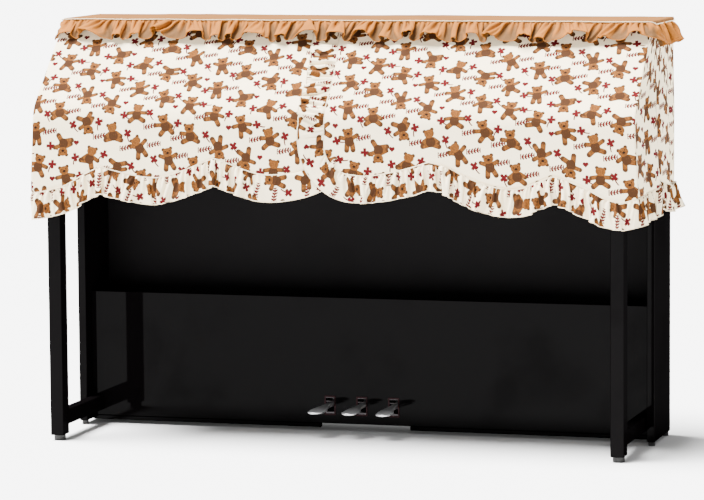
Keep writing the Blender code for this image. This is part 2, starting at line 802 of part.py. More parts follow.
def hem_folds(total, first):
    """Soft folds of uneven width and height that fill the seam's length."""
    folds = []
    used = 0.0
    while used < total:
        i = len(folds) + first
        wide = HEM_PITCH * (1 + 0.25 * sin(2.3 * i) + 0.15 * sin(5.1 * i + 1.0))
        folds.append({"wide": wide, "out": 0.0070 + 0.0030 * sin(3.7 * i + 0.5)})
        used += wide
    for row in folds:
        row["wide"] *= total / used
    return folds


def hem_frill(name, line, first, covered):
    """A gathered strip along a seam. covered(along) is 1 where the other half laps over it."""
    path = walk(line)
    total = path[-1]["length"]
    folds = hem_folds(total, first)

    def place(share, v):
        before, row, phase = in_folds(folds, share)
        tuck = 0.03 * sin(4 * pi * phase) * v
        length = min(total, max(0.0, before + row["wide"] * (phase + tuck)))
        along, below, hang = on_path(path, length)
        reach = 2 * GAP + HEM_FRILL * v
        hidden = covered(along)
        loose = eased((SLOPE - TOP_FRILL + below) / 0.05)
        fold = row["out"] * (0.5 - 0.5 * cos(2 * pi * phase)) * v
        flare = 0.020 * eased((abs(along) - 1.09) / 0.08) * v * v
        stand = mix(fold, 0.001 * v, hidden) * loose + flare - 0.0040 * hidden
        return on_cover(along - sin(hang) * reach, below + cos(hang) * reach, stand)

    return sheet(name, steps(4 * len(folds)), [0.0, 0.5, 1.0], place, FRILL_CLOTH, PRINTED)


def under_lap(along):
    return lap_sink(along) / LAP_SINK


def not_covered(along):
    return 0.0


left_line = [(row["along"], FOLD_Z - row["z"]) for row in SEAM]
hem_frill("hem_frill_left", left_line, 0, under_lap)

lap_belows = [row_below(row, LAP_CORNER_Z) for row in ROWS]
lap_points = [(lap_edge(below), FOLD_Z - below) for below in lap_belows]
corner_points = [lap_corner(share) for share in steps(12)]
seam_points = [(row["along"], row["z"]) for row in RIGHT_SEAM]
right_points = lap_points + corner_points[1:] + seam_points[1:]
right_line = [(along, FOLD_Z - z) for along, z in right_points]
hem_frill("hem_frill_right", right_line, 7, not_covered)
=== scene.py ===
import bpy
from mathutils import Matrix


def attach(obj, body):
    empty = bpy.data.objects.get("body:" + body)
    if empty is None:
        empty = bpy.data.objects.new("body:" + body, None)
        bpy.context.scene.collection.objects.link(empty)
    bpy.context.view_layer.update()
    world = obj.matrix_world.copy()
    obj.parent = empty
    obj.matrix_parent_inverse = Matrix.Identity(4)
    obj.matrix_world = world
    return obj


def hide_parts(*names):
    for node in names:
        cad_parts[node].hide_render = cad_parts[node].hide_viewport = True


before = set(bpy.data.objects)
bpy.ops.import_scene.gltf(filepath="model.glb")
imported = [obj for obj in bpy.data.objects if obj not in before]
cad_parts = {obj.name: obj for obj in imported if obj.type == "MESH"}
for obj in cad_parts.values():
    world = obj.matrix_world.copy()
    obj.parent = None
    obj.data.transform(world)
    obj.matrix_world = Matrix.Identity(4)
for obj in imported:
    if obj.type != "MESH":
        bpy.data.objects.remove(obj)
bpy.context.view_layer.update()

from itertools import product
from math import atan2, ceil, copysign, cos, hypot, pi, radians, sin, sqrt

import bpy
import numpy as np
from mathutils import Matrix, Vector, noise

# ---------------------------------------------------------------- studio
# A pale floor, one wide soft lamp nearly overhead, a little to the left and in front, and a white
# surround. The camera stands in front of the piano, to its right, and looks slightly down.

EYE = Vector((2.4371, -8.2484, 1.3816))
YAW, PITCH, ROLL = radians(16.4963), radians(6.1629), radians(0.4505)
FOCAL_PIXELS, RENDER_WIDTH, SENSOR = 3632.94, 704, 36.0


def in_scene(name, data):
    """An object made of this mesh, lamp or camera."""
    made = bpy.data.objects.new(name, data)
    bpy.context.scene.collection.objects.link(made)
    return made


def plain_mesh(name, points, faces, edges=()):
    mesh = bpy.data.meshes.new(name)
    mesh.from_pydata(points, edges, faces)
    return mesh


ahead = Vector((-sin(YAW) * cos(PITCH), cos(YAW) * cos(PITCH), -sin(PITCH)))
level = Vector((cos(YAW), sin(YAW), 0.0))
lower = ahead.cross(level)
across = cos(ROLL) * level + sin(ROLL) * lower
downward = cos(ROLL) * lower - sin(ROLL) * level
camera_data = bpy.data.cameras.new("camera")
camera_data.sensor_width = SENSOR
camera_data.lens = FOCAL_PIXELS * SENSOR / RENDER_WIDTH
camera_data.clip_end = 200.0
camera = in_scene("camera", camera_data)
camera.matrix_world = Matrix.Translation(EYE) @ Matrix((across, -downward, -ahead)).transposed().to_4x4()
bpy.context.scene.camera = camera

lamp_data = bpy.data.lights.new("lamp", "SUN")
lamp_data.energy = 29.0
lamp_data.angle = radians(34)
lamp = in_scene("lamp", lamp_data)
lamp.rotation_euler = Vector((0.30, 0.13, -0.94)).to_track_quat("-Z", "Y").to_euler()

world = bpy.data.worlds.new("studio")
bpy.context.scene.world = world
world.use_nodes = True
world.node_tree.nodes["Background"].inputs["Color"].default_value = (1.0, 1.0, 1.0, 1.0)
world.node_tree.nodes["Background"].inputs["Strength"].default_value = 0.65

FLOOR_HALF = 60.0
corners = [(FLOOR_HALF * x, FLOOR_HALF * y, 0.0) for x, y in ((-1, -1), (1, -1), (1, 1), (-1, 1))]
floor = in_scene("floor", plain_mesh("floor", corners, [(0, 1, 2, 3)]))
floor_paper = bpy.data.materials.new("floor_paper")
floor_paper.use_nodes = True
floor_shader = floor_paper.node_tree.nodes["Principled BSDF"]
floor_shader.inputs["Base Color"].default_value = (0.78, 0.78, 0.78, 1.0)
floor_shader.inputs["Roughness"].default_value = 0.9
floor_shader.inputs["Specular IOR Level"].default_value = 0.0
floor.data.materials.append(floor_paper)

# ---------------------------------------------------------------- cabinet
# The piano's boards are pressed wood in black polyester lacquer, polished to a mirror. The back
# is a thin board in dull black, and the glides under the legs and sides are moulded rubber.


class Wire:
    """A value that comes out of a node. + - * / ** and abs on it place further nodes."""

    def __init__(self, bench, socket):
        self.bench, self.socket = bench, socket

    def __abs__(self):
        return self.bench.sum("ABSOLUTE", self)


def operator(operation, reflected):
    """The method with which two values, at least one of them a wire, meet in a math node."""

    def meet(self, other):
        pair = (other, self) if reflected else (self, other)
        return self.bench.sum(operation, *pair)

    return meet


for sign, operation in (
    ("add", "ADD"), ("sub", "SUBTRACT"), ("mul", "MULTIPLY"), ("truediv", "DIVIDE"), ("pow", "POWER")
):
    setattr(Wire, f"__{sign}__", operator(operation, False))
    setattr(Wire, f"__r{sign}__", operator(operation, True))


class Bench:
    """Places nodes in a tree one after another, each joined to wires or set to plain values."""

    def __init__(self, tree):
        self.tree = tree

    def join(self, value, socket):
        if isinstance(value, Wire):
            self.tree.links.new(value.socket, socket)
        elif value is not None:
            socket.default_value = value

    def add(self, kind, *values, **settings):
        node = self.tree.nodes.new(kind)
        for name, value in settings.items():
            setattr(node, name, value)
        for socket, value in zip([s for s in node.inputs if s.enabled], values):
            self.join(value, socket)
        return node

    def value(self, kind, *values, out=0, **settings):
        """One output of a new node."""
        return Wire(self, self.add(kind, *values, **settings).outputs[out])

    def wires(self, node):
        """All outputs of a node by their names."""
        return {socket.name: Wire(self, socket) for socket in node.outputs if socket.enabled}

    def sum(self, operation, *values):
        return self.value("ShaderNodeMath", *values, operation=operation)

    def vector(self, operation, *values):
        single = operation in ("LENGTH", "DOT_PRODUCT", "DISTANCE")
        out = "Value" if single else "Vector"
        return self.value("ShaderNodeVectorMath", *values, out=out, operation=operation)

    def between(self, value, low, high, first=0.0, last=1.0):
        """The value's place from low to high, eased, as a number from first to last."""
        values = (value, low, high, first, last)
        return self.value("ShaderNodeMapRange", *values, interpolation_type="SMOOTHSTEP")

    def blend(self, share, first, second):
        """A colour between two."""
        return self.value("ShaderNodeMix", share, first, second, out="Result", data_type="RGBA")

    def point(self, x, y, z=0.0):
        return self.value("ShaderNodeCombineXYZ", x, y, z)

    def split(self, vector):
        return self.wires(self.add("ShaderNodeSeparateXYZ", vector)).values()

    def turned(self, vector, angle, centre=(0.0, 0.0, 0.0)):
        """A point turned about Z round a centre."""
        return self.value("ShaderNodeVectorRotate", vector, centre, angle, rotation_type="Z_AXIS")

    def noise(self, vector, scale, detail=2.0, roughness=0.5):
        return self.value("ShaderNodeTexNoise", vector, scale, detail, roughness)

    def group(self, name, **values):
        """A built group, with values for its named inputs; _ stands for a space in a name."""
        node = self.tree.nodes.new("ShaderNodeGroup")
        node.node_tree = bpy.data.node_groups[name]
        for key, value in values.items():
            self.join(value, node.inputs[key.replace("_", " ")])
        return self.wires(node)

    def give(self, **values):
        """Ends a group with values for its named outputs."""
        node = self.add("NodeGroupOutput")
        for name, value in values.items():
            self.join(value, node.inputs[name])


def new_group(name, inputs, outputs, kind="ShaderNodeTree"):
    """An empty node group with these sockets. Returns its bench and its inputs by name."""
    group = bpy.data.node_groups.new(name, kind)
    for label, socket_type, value in inputs:
        socket = group.interface.new_socket(label, in_out="INPUT", socket_type=socket_type)
        if value is not None:
            socket.default_value = value
    for label, socket_type in outputs:
        group.interface.new_socket(label, in_out="OUTPUT", socket_type=socket_type)
    bench = Bench(group)
    return bench, bench.wires(bench.add("NodeGroupInput"))


FLOAT, VECTOR, COLOUR = "NodeSocketFloat", "NodeSocketVector", "NodeSocketColor"


def new_material(name, roughness, metallic=0.0, **constants):
    """A material with plain values on its shader. Returns it, its bench and the shader."""
    material = bpy.data.materials.new(name)
    material.use_nodes = True
    shader = material.node_tree.nodes["Principled BSDF"]
    shader.inputs["Roughness"].default_value = roughness
    shader.inputs["Metallic"].default_value = metallic
    for key, value in constants.items():
        shader.inputs[key.replace("_", " ")].default_value = value
    return material, Bench(material.node_tree), shader


def join_up(bench, shader, **sockets):
    """Joins sockets to the shader's inputs; Height goes through a bump node of this depth."""
    depth = sockets.pop("Depth", 0.001)
    for key, socket in sockets.items():
        if key == "Height":
            bump = bench.add("ShaderNodeBump", 1.0, depth)
            bench.join(socket, bump.inputs["Height"])
            key, socket = "Normal", Wire(bench, bump.outputs["Normal"])
        bench.join(socket, shader.inputs[key.replace("_", " ")])


# Handling marks: broad faint smears and fine dust, as one value, used by every hard finish.
bench, given = new_group(
    "handling marks",
    [("Vector", VECTOR, None), ("Smear", FLOAT, 0.05), ("Dust", FLOAT, 0.05)],
    [("Marks", FLOAT), ("Grain", FLOAT)],
)
smear = bench.between(bench.noise(given["Vector"], 5.0, 4.0, 0.6), 0.45, 0.75)
grain = bench.noise(given["Vector"], 900.0, 2.0, 0.6)
dust = bench.between(grain, 0.62, 0.80)
bench.give(Marks=smear * given["Smear"] + dust * given["Dust"], Grain=grain)


def hard_finish(name, dark, light, roughness, smear, dust, depth, **constants):
    """A hard finish whose colour and gloss vary with handling marks and a fine grain."""
    material, bench, shader = new_material(name, roughness, **constants)
    place = bench.value("ShaderNodeTexCoord", out="Object")
    marks = bench.group("handling marks", Vector=place, Smear=smear, Dust=dust)
    tint = bench.blend(bench.noise(place, 3.0, 3.0), (*dark, 1.0), (*light, 1.0))
    gloss = marks["Marks"] + roughness
    join_up(bench, shader, Base_Color=tint, Roughness=gloss, Height=marks["Grain"], Depth=depth)
    return material


LACQUER = hard_finish(
    "black_lacquer",
    (0.0010, 0.0008, 0.0009),
    (0.0015, 0.0012, 0.0013),
    roughness=0.30,
    smear=0.05,
    dust=0.10,
    depth=0.00001,
    Specular_IOR_Level=0.0,
    Coat_Roughness=0.04,
)


def polish(material, weight):
    """A clear polished coat, strong where it is seen straight on and faint along the surface, with
    dust and smears in it."""
    bench = Bench(material.node_tree)
    shader = material.node_tree.nodes["Principled BSDF"]
    seen = (1.0 - bench.value("ShaderNodeLayerWeight", 0.5, out="Facing")) ** 2.0
    place = bench.value("ShaderNodeTexCoord", out="Object")
    marks = bench.group("handling marks", Vector=place, Smear=0.35, Dust=0.25)["Marks"]
    bench.join(seen * ((1.0 - marks) * weight), shader.inputs["Coat Weight"])


polish(LACQUER, 0.050)
DULL_BOARD = hard_finish(
    "dull_black_board",
    (0.0022, 0.0019, 0.0020),
    (0.0038, 0.0033, 0.0035),
    roughness=0.45,
    smear=0.10,
    dust=0.15,
    depth=0.0002,
    Specular_IOR_Level=0.03,
)
RUBBER = hard_finish(
    "glide_rubber", (0.012, 0.012, 0.012), (0.022, 0.021, 0.020), 0.70, 0.10, 0.20, 0.0003
)


def finish_nodes(material, *names):
    """Gives CAD nodes their finish."""
    for name in names:
        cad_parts[name].material_slots[0].material = material


finish_nodes(LACQUER, "top_board", "keybed", "key_lid", "music_panel", "lower_panel")
finish_nodes(DULL_BOARD, "back_board")
for word in ("left", "right"):
    boards = ("side_board", "key_cheek", "leg", "foot_bar", "bottom_rail")
    finish_nodes(LACQUER, *[f"{board}_{word}" for board in boards])
    finish_nodes(RUBBER, *[f"glide_{place}_{word}" for place in ("front", "middle", "back")])

# ---------------------------------------------------------------- pedals
# Three brass levers, chromed and polished, turn on a steel rod in a pressed steel unit behind the
# lower panel. A box of dark sheet steel closes the unit at its back and top, and each slot in the
# panel has a dark guide round it and three narrow lips across it.


def metal(name, dark, light, roughness, depth, metallic=1.0):
    """A metal finish, lightly smeared and dusty."""
    return hard_finish(name, dark, light, roughness, 0.10, 0.10, depth, metallic=metallic)


CHROME = metal("pedal_chrome", (0.60, 0.60, 0.61), (0.68, 0.68, 0.69), 0.30, 0.00002, 0.75)
STEEL = metal("pedal_steel", (0.018, 0.017, 0.018), (0.032, 0.030, 0.031), 0.34, 0.00005)
GUIDE = metal("pedal_guide", (0.0060, 0.0030, 0.0034), (0.0110, 0.0055, 0.0060), 0.25, 0.00005)
finish_nodes(STEEL, "pedal_unit", "pedal_rod")

PEDAL_PITCH, PEDAL_SPLAY, PEDAL_MIDDLE = 0.080, 0.005, -0.007
PEDAL_TIP, PEDAL_PIVOT, PEDAL_Z = -0.048, 0.128, 0.066
PEDAL_ROOT, PEDAL_SPOON, PEDAL_THICK = 0.0078, 0.0183, 0.0099
BOSS_RADIUS, BORE_RADIUS, PANEL_Y = 0.0098, 0.0044, 0.080
PEDAL_CROWN = 0.0006  # how far its top's edges lie below its middle
PEDAL_AROUND, BOSS_AROUND = 28, 32


def mix(a, b, t):
    return a + (b - a) * t


def eased(t):
    """0 to 1 with a soft start and end."""
    t = min(1.0, max(0.0, t))
    return t * t * (3 - 2 * t)


def pedal_half(y):
    """Half of a pedal's width at a distance forward of its pivot: a straight root, a flare and a
    round spoon."""
    reach = PEDAL_PIVOT - PEDAL_TIP
    root_end = PEDAL_PIVOT - PANEL_Y + 0.020
    neck_end = reach - PEDAL_SPOON - 0.022
    if y > reach - PEDAL_SPOON:
        return sqrt(max(0.0, PEDAL_SPOON**2 - (y - reach + PEDAL_SPOON) ** 2))
    return mix(PEDAL_ROOT, PEDAL_SPOON, eased((y - root_end) / (neck_end - root_end)))


def pedal_mesh(name, place):
    """A lever of rounded section, crowned on top, with a bored boss at its hinge."""
    reach, in_slot = PEDAL_PIVOT - PEDAL_TIP, PEDAL_PIVOT - PANEL_Y
    middle = place * PEDAL_PITCH + PEDAL_MIDDLE
    stations = [(reach - PEDAL_SPOON) * (i / 44) for i in range(2, 45)]
    stations += [reach - PEDAL_SPOON * (1 - sin(a * pi / 32)) for a in range(1, 17)]
    points, faces = [], []
    for y in stations:
        half = max(0.0006, pedal_half(y))
        thin = 0.5 * min(1.0, max(0.0, (y - 0.085) / 0.080)) * PEDAL_THICK
        thick = (PEDAL_THICK - thin) / 2 * min(1.0, (half / 0.006) ** 0.5)
        shift = place * PEDAL_SPLAY * max(0.0, (y - in_slot) / (reach - in_slot))
        for k in range(PEDAL_AROUND):
            a = 2 * pi * k / PEDAL_AROUND
            x = half * copysign(abs(cos(a)) ** 0.45, cos(a))
            z = thick * copysign(abs(sin(a)) ** 0.40, sin(a))
            if z > 0:
                z -= PEDAL_CROWN * (x / half) ** 2
            points.append((middle + shift + x, PEDAL_PIVOT - y, PEDAL_Z - thin / 2 + z))
    for i in range(len(stations) - 1):
        for k in range(PEDAL_AROUND):
            a, b = i * PEDAL_AROUND + k, i * PEDAL_AROUND + (k + 1) % PEDAL_AROUND
            faces.append((a, b, b + PEDAL_AROUND, a + PEDAL_AROUND))
    start = len(points)
    faces += [list(range(PEDAL_AROUND))[::-1], list(range(start - PEDAL_AROUND, start))]
    ring = [(-PEDAL_ROOT, BORE_RADIUS), (-PEDAL_ROOT, BOSS_RADIUS)]
    ring += [(PEDAL_ROOT, BOSS_RADIUS), (PEDAL_ROOT, BORE_RADIUS)]
    for k in range(BOSS_AROUND):
        a = 2 * pi * k / BOSS_AROUND
        for x, radius in ring:
            points.append((middle + x, PEDAL_PIVOT + radius * cos(a), PEDAL_Z + radius * sin(a)))
    for k in range(BOSS_AROUND):
        here, beside = start + 4 * k, start + 4 * ((k + 1) % BOSS_AROUND)
        for j in range(4):
            after = (j + 1) % 4
            faces.append((here + j, here + after, beside + after, beside + j))
    mesh = plain_mesh(name, points, faces)
    mesh.shade_smooth()
    mesh.set_sharp_from_angle(angle=radians(35))
    return mesh


UNIT_HALF, UNIT_BACK, UNIT_LOW, UNIT_TOP = 0.128, 0.1563, 0.022, 0.112
BOX_FRONT, BOX_BACK, BOX_TOP = 0.0953, UNIT_BACK + 0.0015, UNIT_TOP + 0.0016


def plain_boxes(name, finish, boxes):
    """A fixed piece made of plain boxes, each given by two corners, with slightly eased edges."""
    points, faces = [], []
    for low, high in boxes:
        start = len(points)
        points += product(*zip(low, high))
        sides = ((0, 1, 3, 2), (4, 6, 7, 5), (0, 4, 5, 1), (2, 3, 7, 6), (0, 2, 6, 4), (1, 5, 7, 3))
        faces += [tuple(start + k for k in side) for side in sides]
    piece = in_scene(name, plain_mesh(name, points, faces))
    piece.data.materials.append(finish)
    ease = piece.modifiers.new("eased edges", "BEVEL")
    ease.width = 0.0004
    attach(piece, "piano")


box_back = ((-UNIT_HALF, UNIT_BACK, UNIT_LOW), (UNIT_HALF, BOX_BACK, UNIT_TOP))
box_lid = ((-UNIT_HALF, BOX_FRONT, UNIT_TOP + 0.0001), (UNIT_HALF, BOX_BACK, BOX_TOP))
plain_boxes("pedal_box", STEEL, [box_back, box_lid])
LIP = metal("pedal_lip", (0.030, 0.027, 0.028), (0.050, 0.045, 0.047), 0.30, 0.00005)
LIP_HALF, LIP_FRONT, LIP_BACK = 0.0105, 0.0782, 0.0812
LIP_HEIGHTS = ((0.0826, 0.0846), (0.0734, 0.0756), (0.0446, 0.0490))
lips = []
for place in (-1, 0, 1):
    middle = place * PEDAL_PITCH + PEDAL_MIDDLE
    for low, high in LIP_HEIGHTS:
        lips.append(((middle - LIP_HALF, LIP_FRONT, low), (middle + LIP_HALF, LIP_BACK, high)))
plain_boxes("pedal_lips", LIP, lips)

for word, place in (("left", -1), ("middle", 0), ("right", 1)):
    finish_nodes(GUIDE, f"pedal_guide_{word}")
    lever = in_scene(f"lever_{word}", pedal_mesh(f"lever_{word}", place))
    lever.data.materials.append(CHROME)
    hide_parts(f"pedal_{word}")
    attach(lever, f"{word}_pedal")

# ---------------------------------------------------------------- the cover's tan top
# One rectangle of plain tan cotton lies on the piano's top board. Its front and sides are sewn to
# the other panels, and the stitching draws its edges into faint waves.

GAP = 0.0003
CLOTH, FRILL_CLOTH = 0.0016, 0.0012
BOARD_TOP = 0.9997
COVER_TOP = BOARD_TOP + GAP + CLOTH
TOP_EDGE, COVER_BACK = -0.005, 0.231
HALF_TOP = 0.7236
TOP_DEPTH = COVER_BACK - TOP_EDGE
TOP_RIM = 0.0104  # the cloth that rolls over the board's edges to the seam


def steps(count, start=0.0, end=1.0):
    """Evenly spaced values from start to end."""
    return [mix(start, end, i / count) for i in range(count + 1)]


# Plain weave: threads pass over and under each other, and some are thicker than others. Its Shade
# # is painted shade between the threads together with the slubs' own tone.
bench, given = new_group(
    "plain weave",
    [("Vector", VECTOR, None), ("Pitch", FLOAT, 0.0005), ("Crumple", FLOAT, 0.5)],
    [("Height", FLOAT), ("Shade", FLOAT)],
)
threads = bench.vector("SCALE", given["Vector"], 1.0 / given["Pitch"])
warp, weft, _ = bench.split(threads)
rounds = [abs(bench.sum("SINE", thread * pi)) for thread in (warp, weft)]
turns = bench.sum("FLOOR", warp) + bench.sum("FLOOR", weft)
over = bench.sum("FLOORED_MODULO", turns, 2.0)
weave = bench.value("ShaderNodeMix", over, *rounds, data_type="FLOAT", out="Result")
lengthwise, crosswise = (
    bench.noise(bench.vector("MULTIPLY", given["Vector"], scale), 1.0, 2.0)
    for scale in ((60.0, 2200.0, 1.0), (2200.0, 60.0, 1.0))
)
slubs = lengthwise + crosswise
soft = bench.noise(given["Vector"], 55.0, 4.0, 0.55)
creases = bench.noise(given["Vector"], 16.0, 3.0, 0.6)
crumple = (soft + creases * 2.0) * given["Crumple"]
bench.give(Height=weave * 0.05 + (slubs * 0.03 + crumple), Shade=weave * 0.35 + slubs * 0.4)


def cotton(name, dark, light, crumple=0.5, folds=None):
    """Plain cotton dyed in one colour, with painted shade between its threads, and with painted
    shade in the deep parts of its folds where a fold shade colour is given."""
    material, bench, shader = new_material(name, 0.88, Specular_IOR_Level=0.12)
    cloth = bench.value("ShaderNodeUVMap", uv_map="UVMap")
    weave = bench.group("plain weave", Vector=cloth, Pitch=0.0005, Crumple=crumple)
    patches = bench.between(bench.noise(cloth, 9.0, 3.0), 0.3, 0.7, 0.0, 0.5)
    share = weave["Shade"] * 0.5 + patches
    # The dark colour stands for painted shade between the threads and for random darker patches.
    colour = bench.blend(share, (*dark, 1.0), (*light, 1.0))
    # Painted shade: the colour turns to the fold shade where the settled cloth lies deep below its
    # neighbours.
    if folds:
        hollow = bench.value("ShaderNodeAttribute", attribute_name="hollow", out="Fac")
        colour = bench.blend(hollow, colour, (*folds, 1.0))
    gloss = weave["Shade"] * -0.06 + 0.91
    join_up(bench, shader, Base_Color=colour, Roughness=gloss, Height=weave["Height"], Depth=0.0012)
    return material


# TAN_FOLD_SHADE is painted shade for the deep parts of the frill's folds.
TAN_DARK, TAN_LIGHT, TAN_FOLD_SHADE = (0.205, 0.069, 0.0090), (0.290, 0.100, 0.0125), (0.093, 0.0430, 0.0142)
TAN = cotton("tan_cotton", TAN_DARK, TAN_LIGHT, crumple=1.6, folds=TAN_FOLD_SHADE)
# The top is the same tan cotton in a darker copy: painted shade over the whole top.
TAN_SHADED_TOP = cotton("tan_cotton_top", (0.130, 0.051, 0.0110), (0.180, 0.071, 0.0150))


def lay_flat(mesh, flat):
    """Tells each point of a mesh its place on the flat cloth, and shades it smooth."""
    used = np.empty(len(mesh.loops), int)
    mesh.loops.foreach_get("vertex_index", used)
    mesh.uv_layers.new(name="UVMap").data.foreach_set("uv", flat[used].ravel())
    mesh.shade_smooth()


def cloth_mesh(name, places, flat):
    """A sheet's outer face from two arrays of columns by rows: the points where the cloth hangs,
    and the same points on the flat cloth in metres. Columns run to the right as seen from
    outside, and rows run down."""
    count = places.shape[:2]
    index = np.arange(count[0] * count[1]).reshape(count)
    corners = [index[:-1, :-1], index[:-1, 1:], index[1:, 1:], index[1:, :-1]]
    faces = np.stack(corners, -1).reshape(-1, 4)
    mesh = plain_mesh(name, places.reshape(-1, 3).tolist(), faces.tolist())
    lay_flat(mesh, flat.reshape(-1, 2))
    return mesh


def sewn_piece(mesh, finish, node, thickness=CLOTH, inside=None):
    """A piece of the cover: its mesh thickened inwards, in place of a CAD node."""
    piece = in_scene(mesh.name, mesh)
    mesh.materials.clear()
    mesh.materials.append(finish)
    cloth = piece.modifiers.new("cloth", "SOLIDIFY")
    cloth.thickness = thickness
    cloth.offset = -1.0
    if inside:
        mesh.materials.append(inside)
        cloth.material_offset = 1
    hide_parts(node)
    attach(piece, "piano")
    return piece


def laid_out(us, vs, place):
    """Where the columns and rows lie: an array of the points place(u, v)."""
    return np.array([[place(u, v) for v in vs] for u in us], float)


def unevenness(place, size, seed):
    """A smooth value from about -1 to 1 that varies over this size."""
    return noise.noise(Vector((place[0] / size, place[1] / size, seed)))


def top_place(x, y):
    """The top, flat on its board, drawn into small waves at its seams and rolled down over the
    front and side edges."""
    past = Vector((x - min(HALF_TOP, max(-HALF_TOP, x)), min(0.0, y - TOP_EDGE)))
    if past.length > 0:
        sideways = abs(past.x) / past.length
        radius, most = mix(0.0075, 0.0032, sideways), mix(pi / 4, pi / 2, sideways)
        turn = min(most, past.length / radius)
        on = past.length - radius * turn
        out = past.normalized() * (radius * sin(turn) + on * cos(turn))
        x, y, lift = top_place(x - past.x, y - past.y)
        return x + out.x, y + out.y, lift - radius * (1 - cos(turn)) - on * sin(turn)
    back_lift = 0.0008 * (1 - cos(2 * pi * (1.7 * x + 0.2))) * eased((HALF_TOP - abs(x)) / 0.1)
    v = (COVER_BACK - y) / TOP_DEPTH
    lift = back_lift * eased(12 * v) * (1 - v)
    inner = min(HALF_TOP - abs(x), COVER_BACK - y, 0.02) / 0.02
    lift += (0.0004 + 0.0005 * unevenness((x, y), 0.05, 3.0)) * inner
    drawn = eased((TOP_EDGE + 0.030 - y) / 0.030) * inner
    lift += 0.0006 * (1 + noise.noise(Vector((x / 0.006, y / 0.05, 0.0)))) * drawn
    return x, y, COVER_TOP + lift


TOP_XS = steps(500, -HALF_TOP - TOP_RIM, HALF_TOP + TOP_RIM)
TOP_YS = steps(60, COVER_BACK, TOP_EDGE - TOP_RIM)
top_flat = laid_out(TOP_XS, TOP_YS, lambda x, y: (x, y))
mesh = cloth_mesh("cover_top", laid_out(TOP_XS, TOP_YS, top_place), top_flat)
top_panel = sewn_piece(mesh, TAN_SHADED_TOP, "top_panel")

# ---------------------------------------------------------------- edging and tan frill
# A strip of tan cotton, 1.6 times as long as its seam, is gathered round the top's front and
# sides. A narrow pale edge of cotton is sewn into that seam and stands up along it.

SLOPE_TOP = (TOP_EDGE, COVER_TOP)
FOLD_Y, FOLD_Z = -0.219, 0.793
SLOPE_RUN, SLOPE_FALL = TOP_EDGE - FOLD_Y, COVER_TOP - FOLD_Z
SLOPE = hypot(SLOPE_RUN, SLOPE_FALL)
DOWN_SLOPE = Vector((0, -SLOPE_RUN, -SLOPE_FALL)) / SLOPE
OFF_SLOPE = Vector((0, -SLOPE_FALL, SLOPE_RUN)) / SLOPE
DOWN, FRONT = Vector((0, 0, -1)), Vector((0, -1, 0))
TOP_ROUND = 2 * (TOP_DEPTH + HALF_TOP)
FAN = 0.018  # of the edge on each side of a front corner, where the frill fans round it
SEAM_DOWN, SEAM_OUT = 0.0100, 0.0024


def past_corner(length):
    """Length on from the nearer front corner, negative on a side."""
    return min(length, TOP_ROUND - length) - TOP_DEPTH


def round_top(length):
    """(point, outward direction, falling direction) on the top's edge, at a length from the back
    of the left side round the front to the back of the right side."""
    side = Vector((-1, 0, 0)) if length < TOP_ROUND / 2 else Vector((1, 0, 0))
    past = past_corner(length)
    down = DOWN.lerp(DOWN_SLOPE, eased(past / FAN + 1.5)).normalized()
    out = side.lerp(OFF_SLOPE, eased(past / FAN + 0.5)).normalized()
    point = Vector((side.x * (HALF_TOP - max(0.0, past)), TOP_EDGE + max(0.0, -past), COVER_TOP))
    wavy = 0.0012 * noise.noise(Vector((length / 0.09, 0.0, 6.0)))
    return point + (SEAM_DOWN + wavy) * down + SEAM_OUT * out, out, down


def store(mesh, name, values, kind="FLOAT"):
    """Stores one value or vector for each point of a mesh."""
    attribute = mesh.attributes.new(name, kind, "POINT")
    key = "vector" if kind == "FLOAT_VECTOR" else "value"
    attribute.data.foreach_set(key, np.asarray(values, np.float32).ravel())


def seam_rail(name, points, outs, falls):
    """The line on which a strip is gathered, with the directions off the cover and down it."""
    edges = [(i, i + 1) for i in range(len(points) - 1)]
    mesh = plain_mesh(name, [tuple(p) for p in points], [], edges)
    store(mesh, "out", outs, "FLOAT_VECTOR")
    store(mesh, "fall", falls, "FLOAT_VECTOR")
    return in_scene(name, mesh)


# The gathering tree takes a strip that lies flat, marked with its folds, and hangs it on the rail:
# down the cover, out in standing folds whose sides tuck in, and in fine puckers at the stitches.
bench, given = new_group(
    "gathers",
    [
        ("Geometry", "NodeSocketGeometry", None),
        ("Rail", "NodeSocketObject", None),
        ("Depth", FLOAT, 0.06),
        ("Start", FLOAT, 0.0012),
        ("Clearance", FLOAT, 0.0016),
        ("Tuck", FLOAT, 0.08),
        ("Wander", FLOAT, 0.012),
        ("Pucker pitch", FLOAT, 0.007),
        ("Pucker height", FLOAT, 0.0010),
        ("Pleat pitch", FLOAT, 0.018),
        ("Pleat height", FLOAT, 0.0030),
        ("Crumple", FLOAT, 0.0010),
        ("Seed", FLOAT, 1.0),
        ("Cloth", "NodeSocketMaterial", None),
    ],
    [("Geometry", "NodeSocketGeometry")],
    "GeometryNodeTree",
)


def marked(bench, name, kind="FLOAT"):
    """A value that is stored on the points under this name."""
    return bench.value("GeometryNodeInputNamedAttribute", name, data_type=kind, out="Attribute")


def seeded_noise(bench, x, y, seed, detail=2.0):
    """A smooth value from -1 to 1 at a place, different for each seed."""
    value = bench.noise(bench.point(x, y, seed), 1.0, detail)
    return value * 2.0 - 1.0


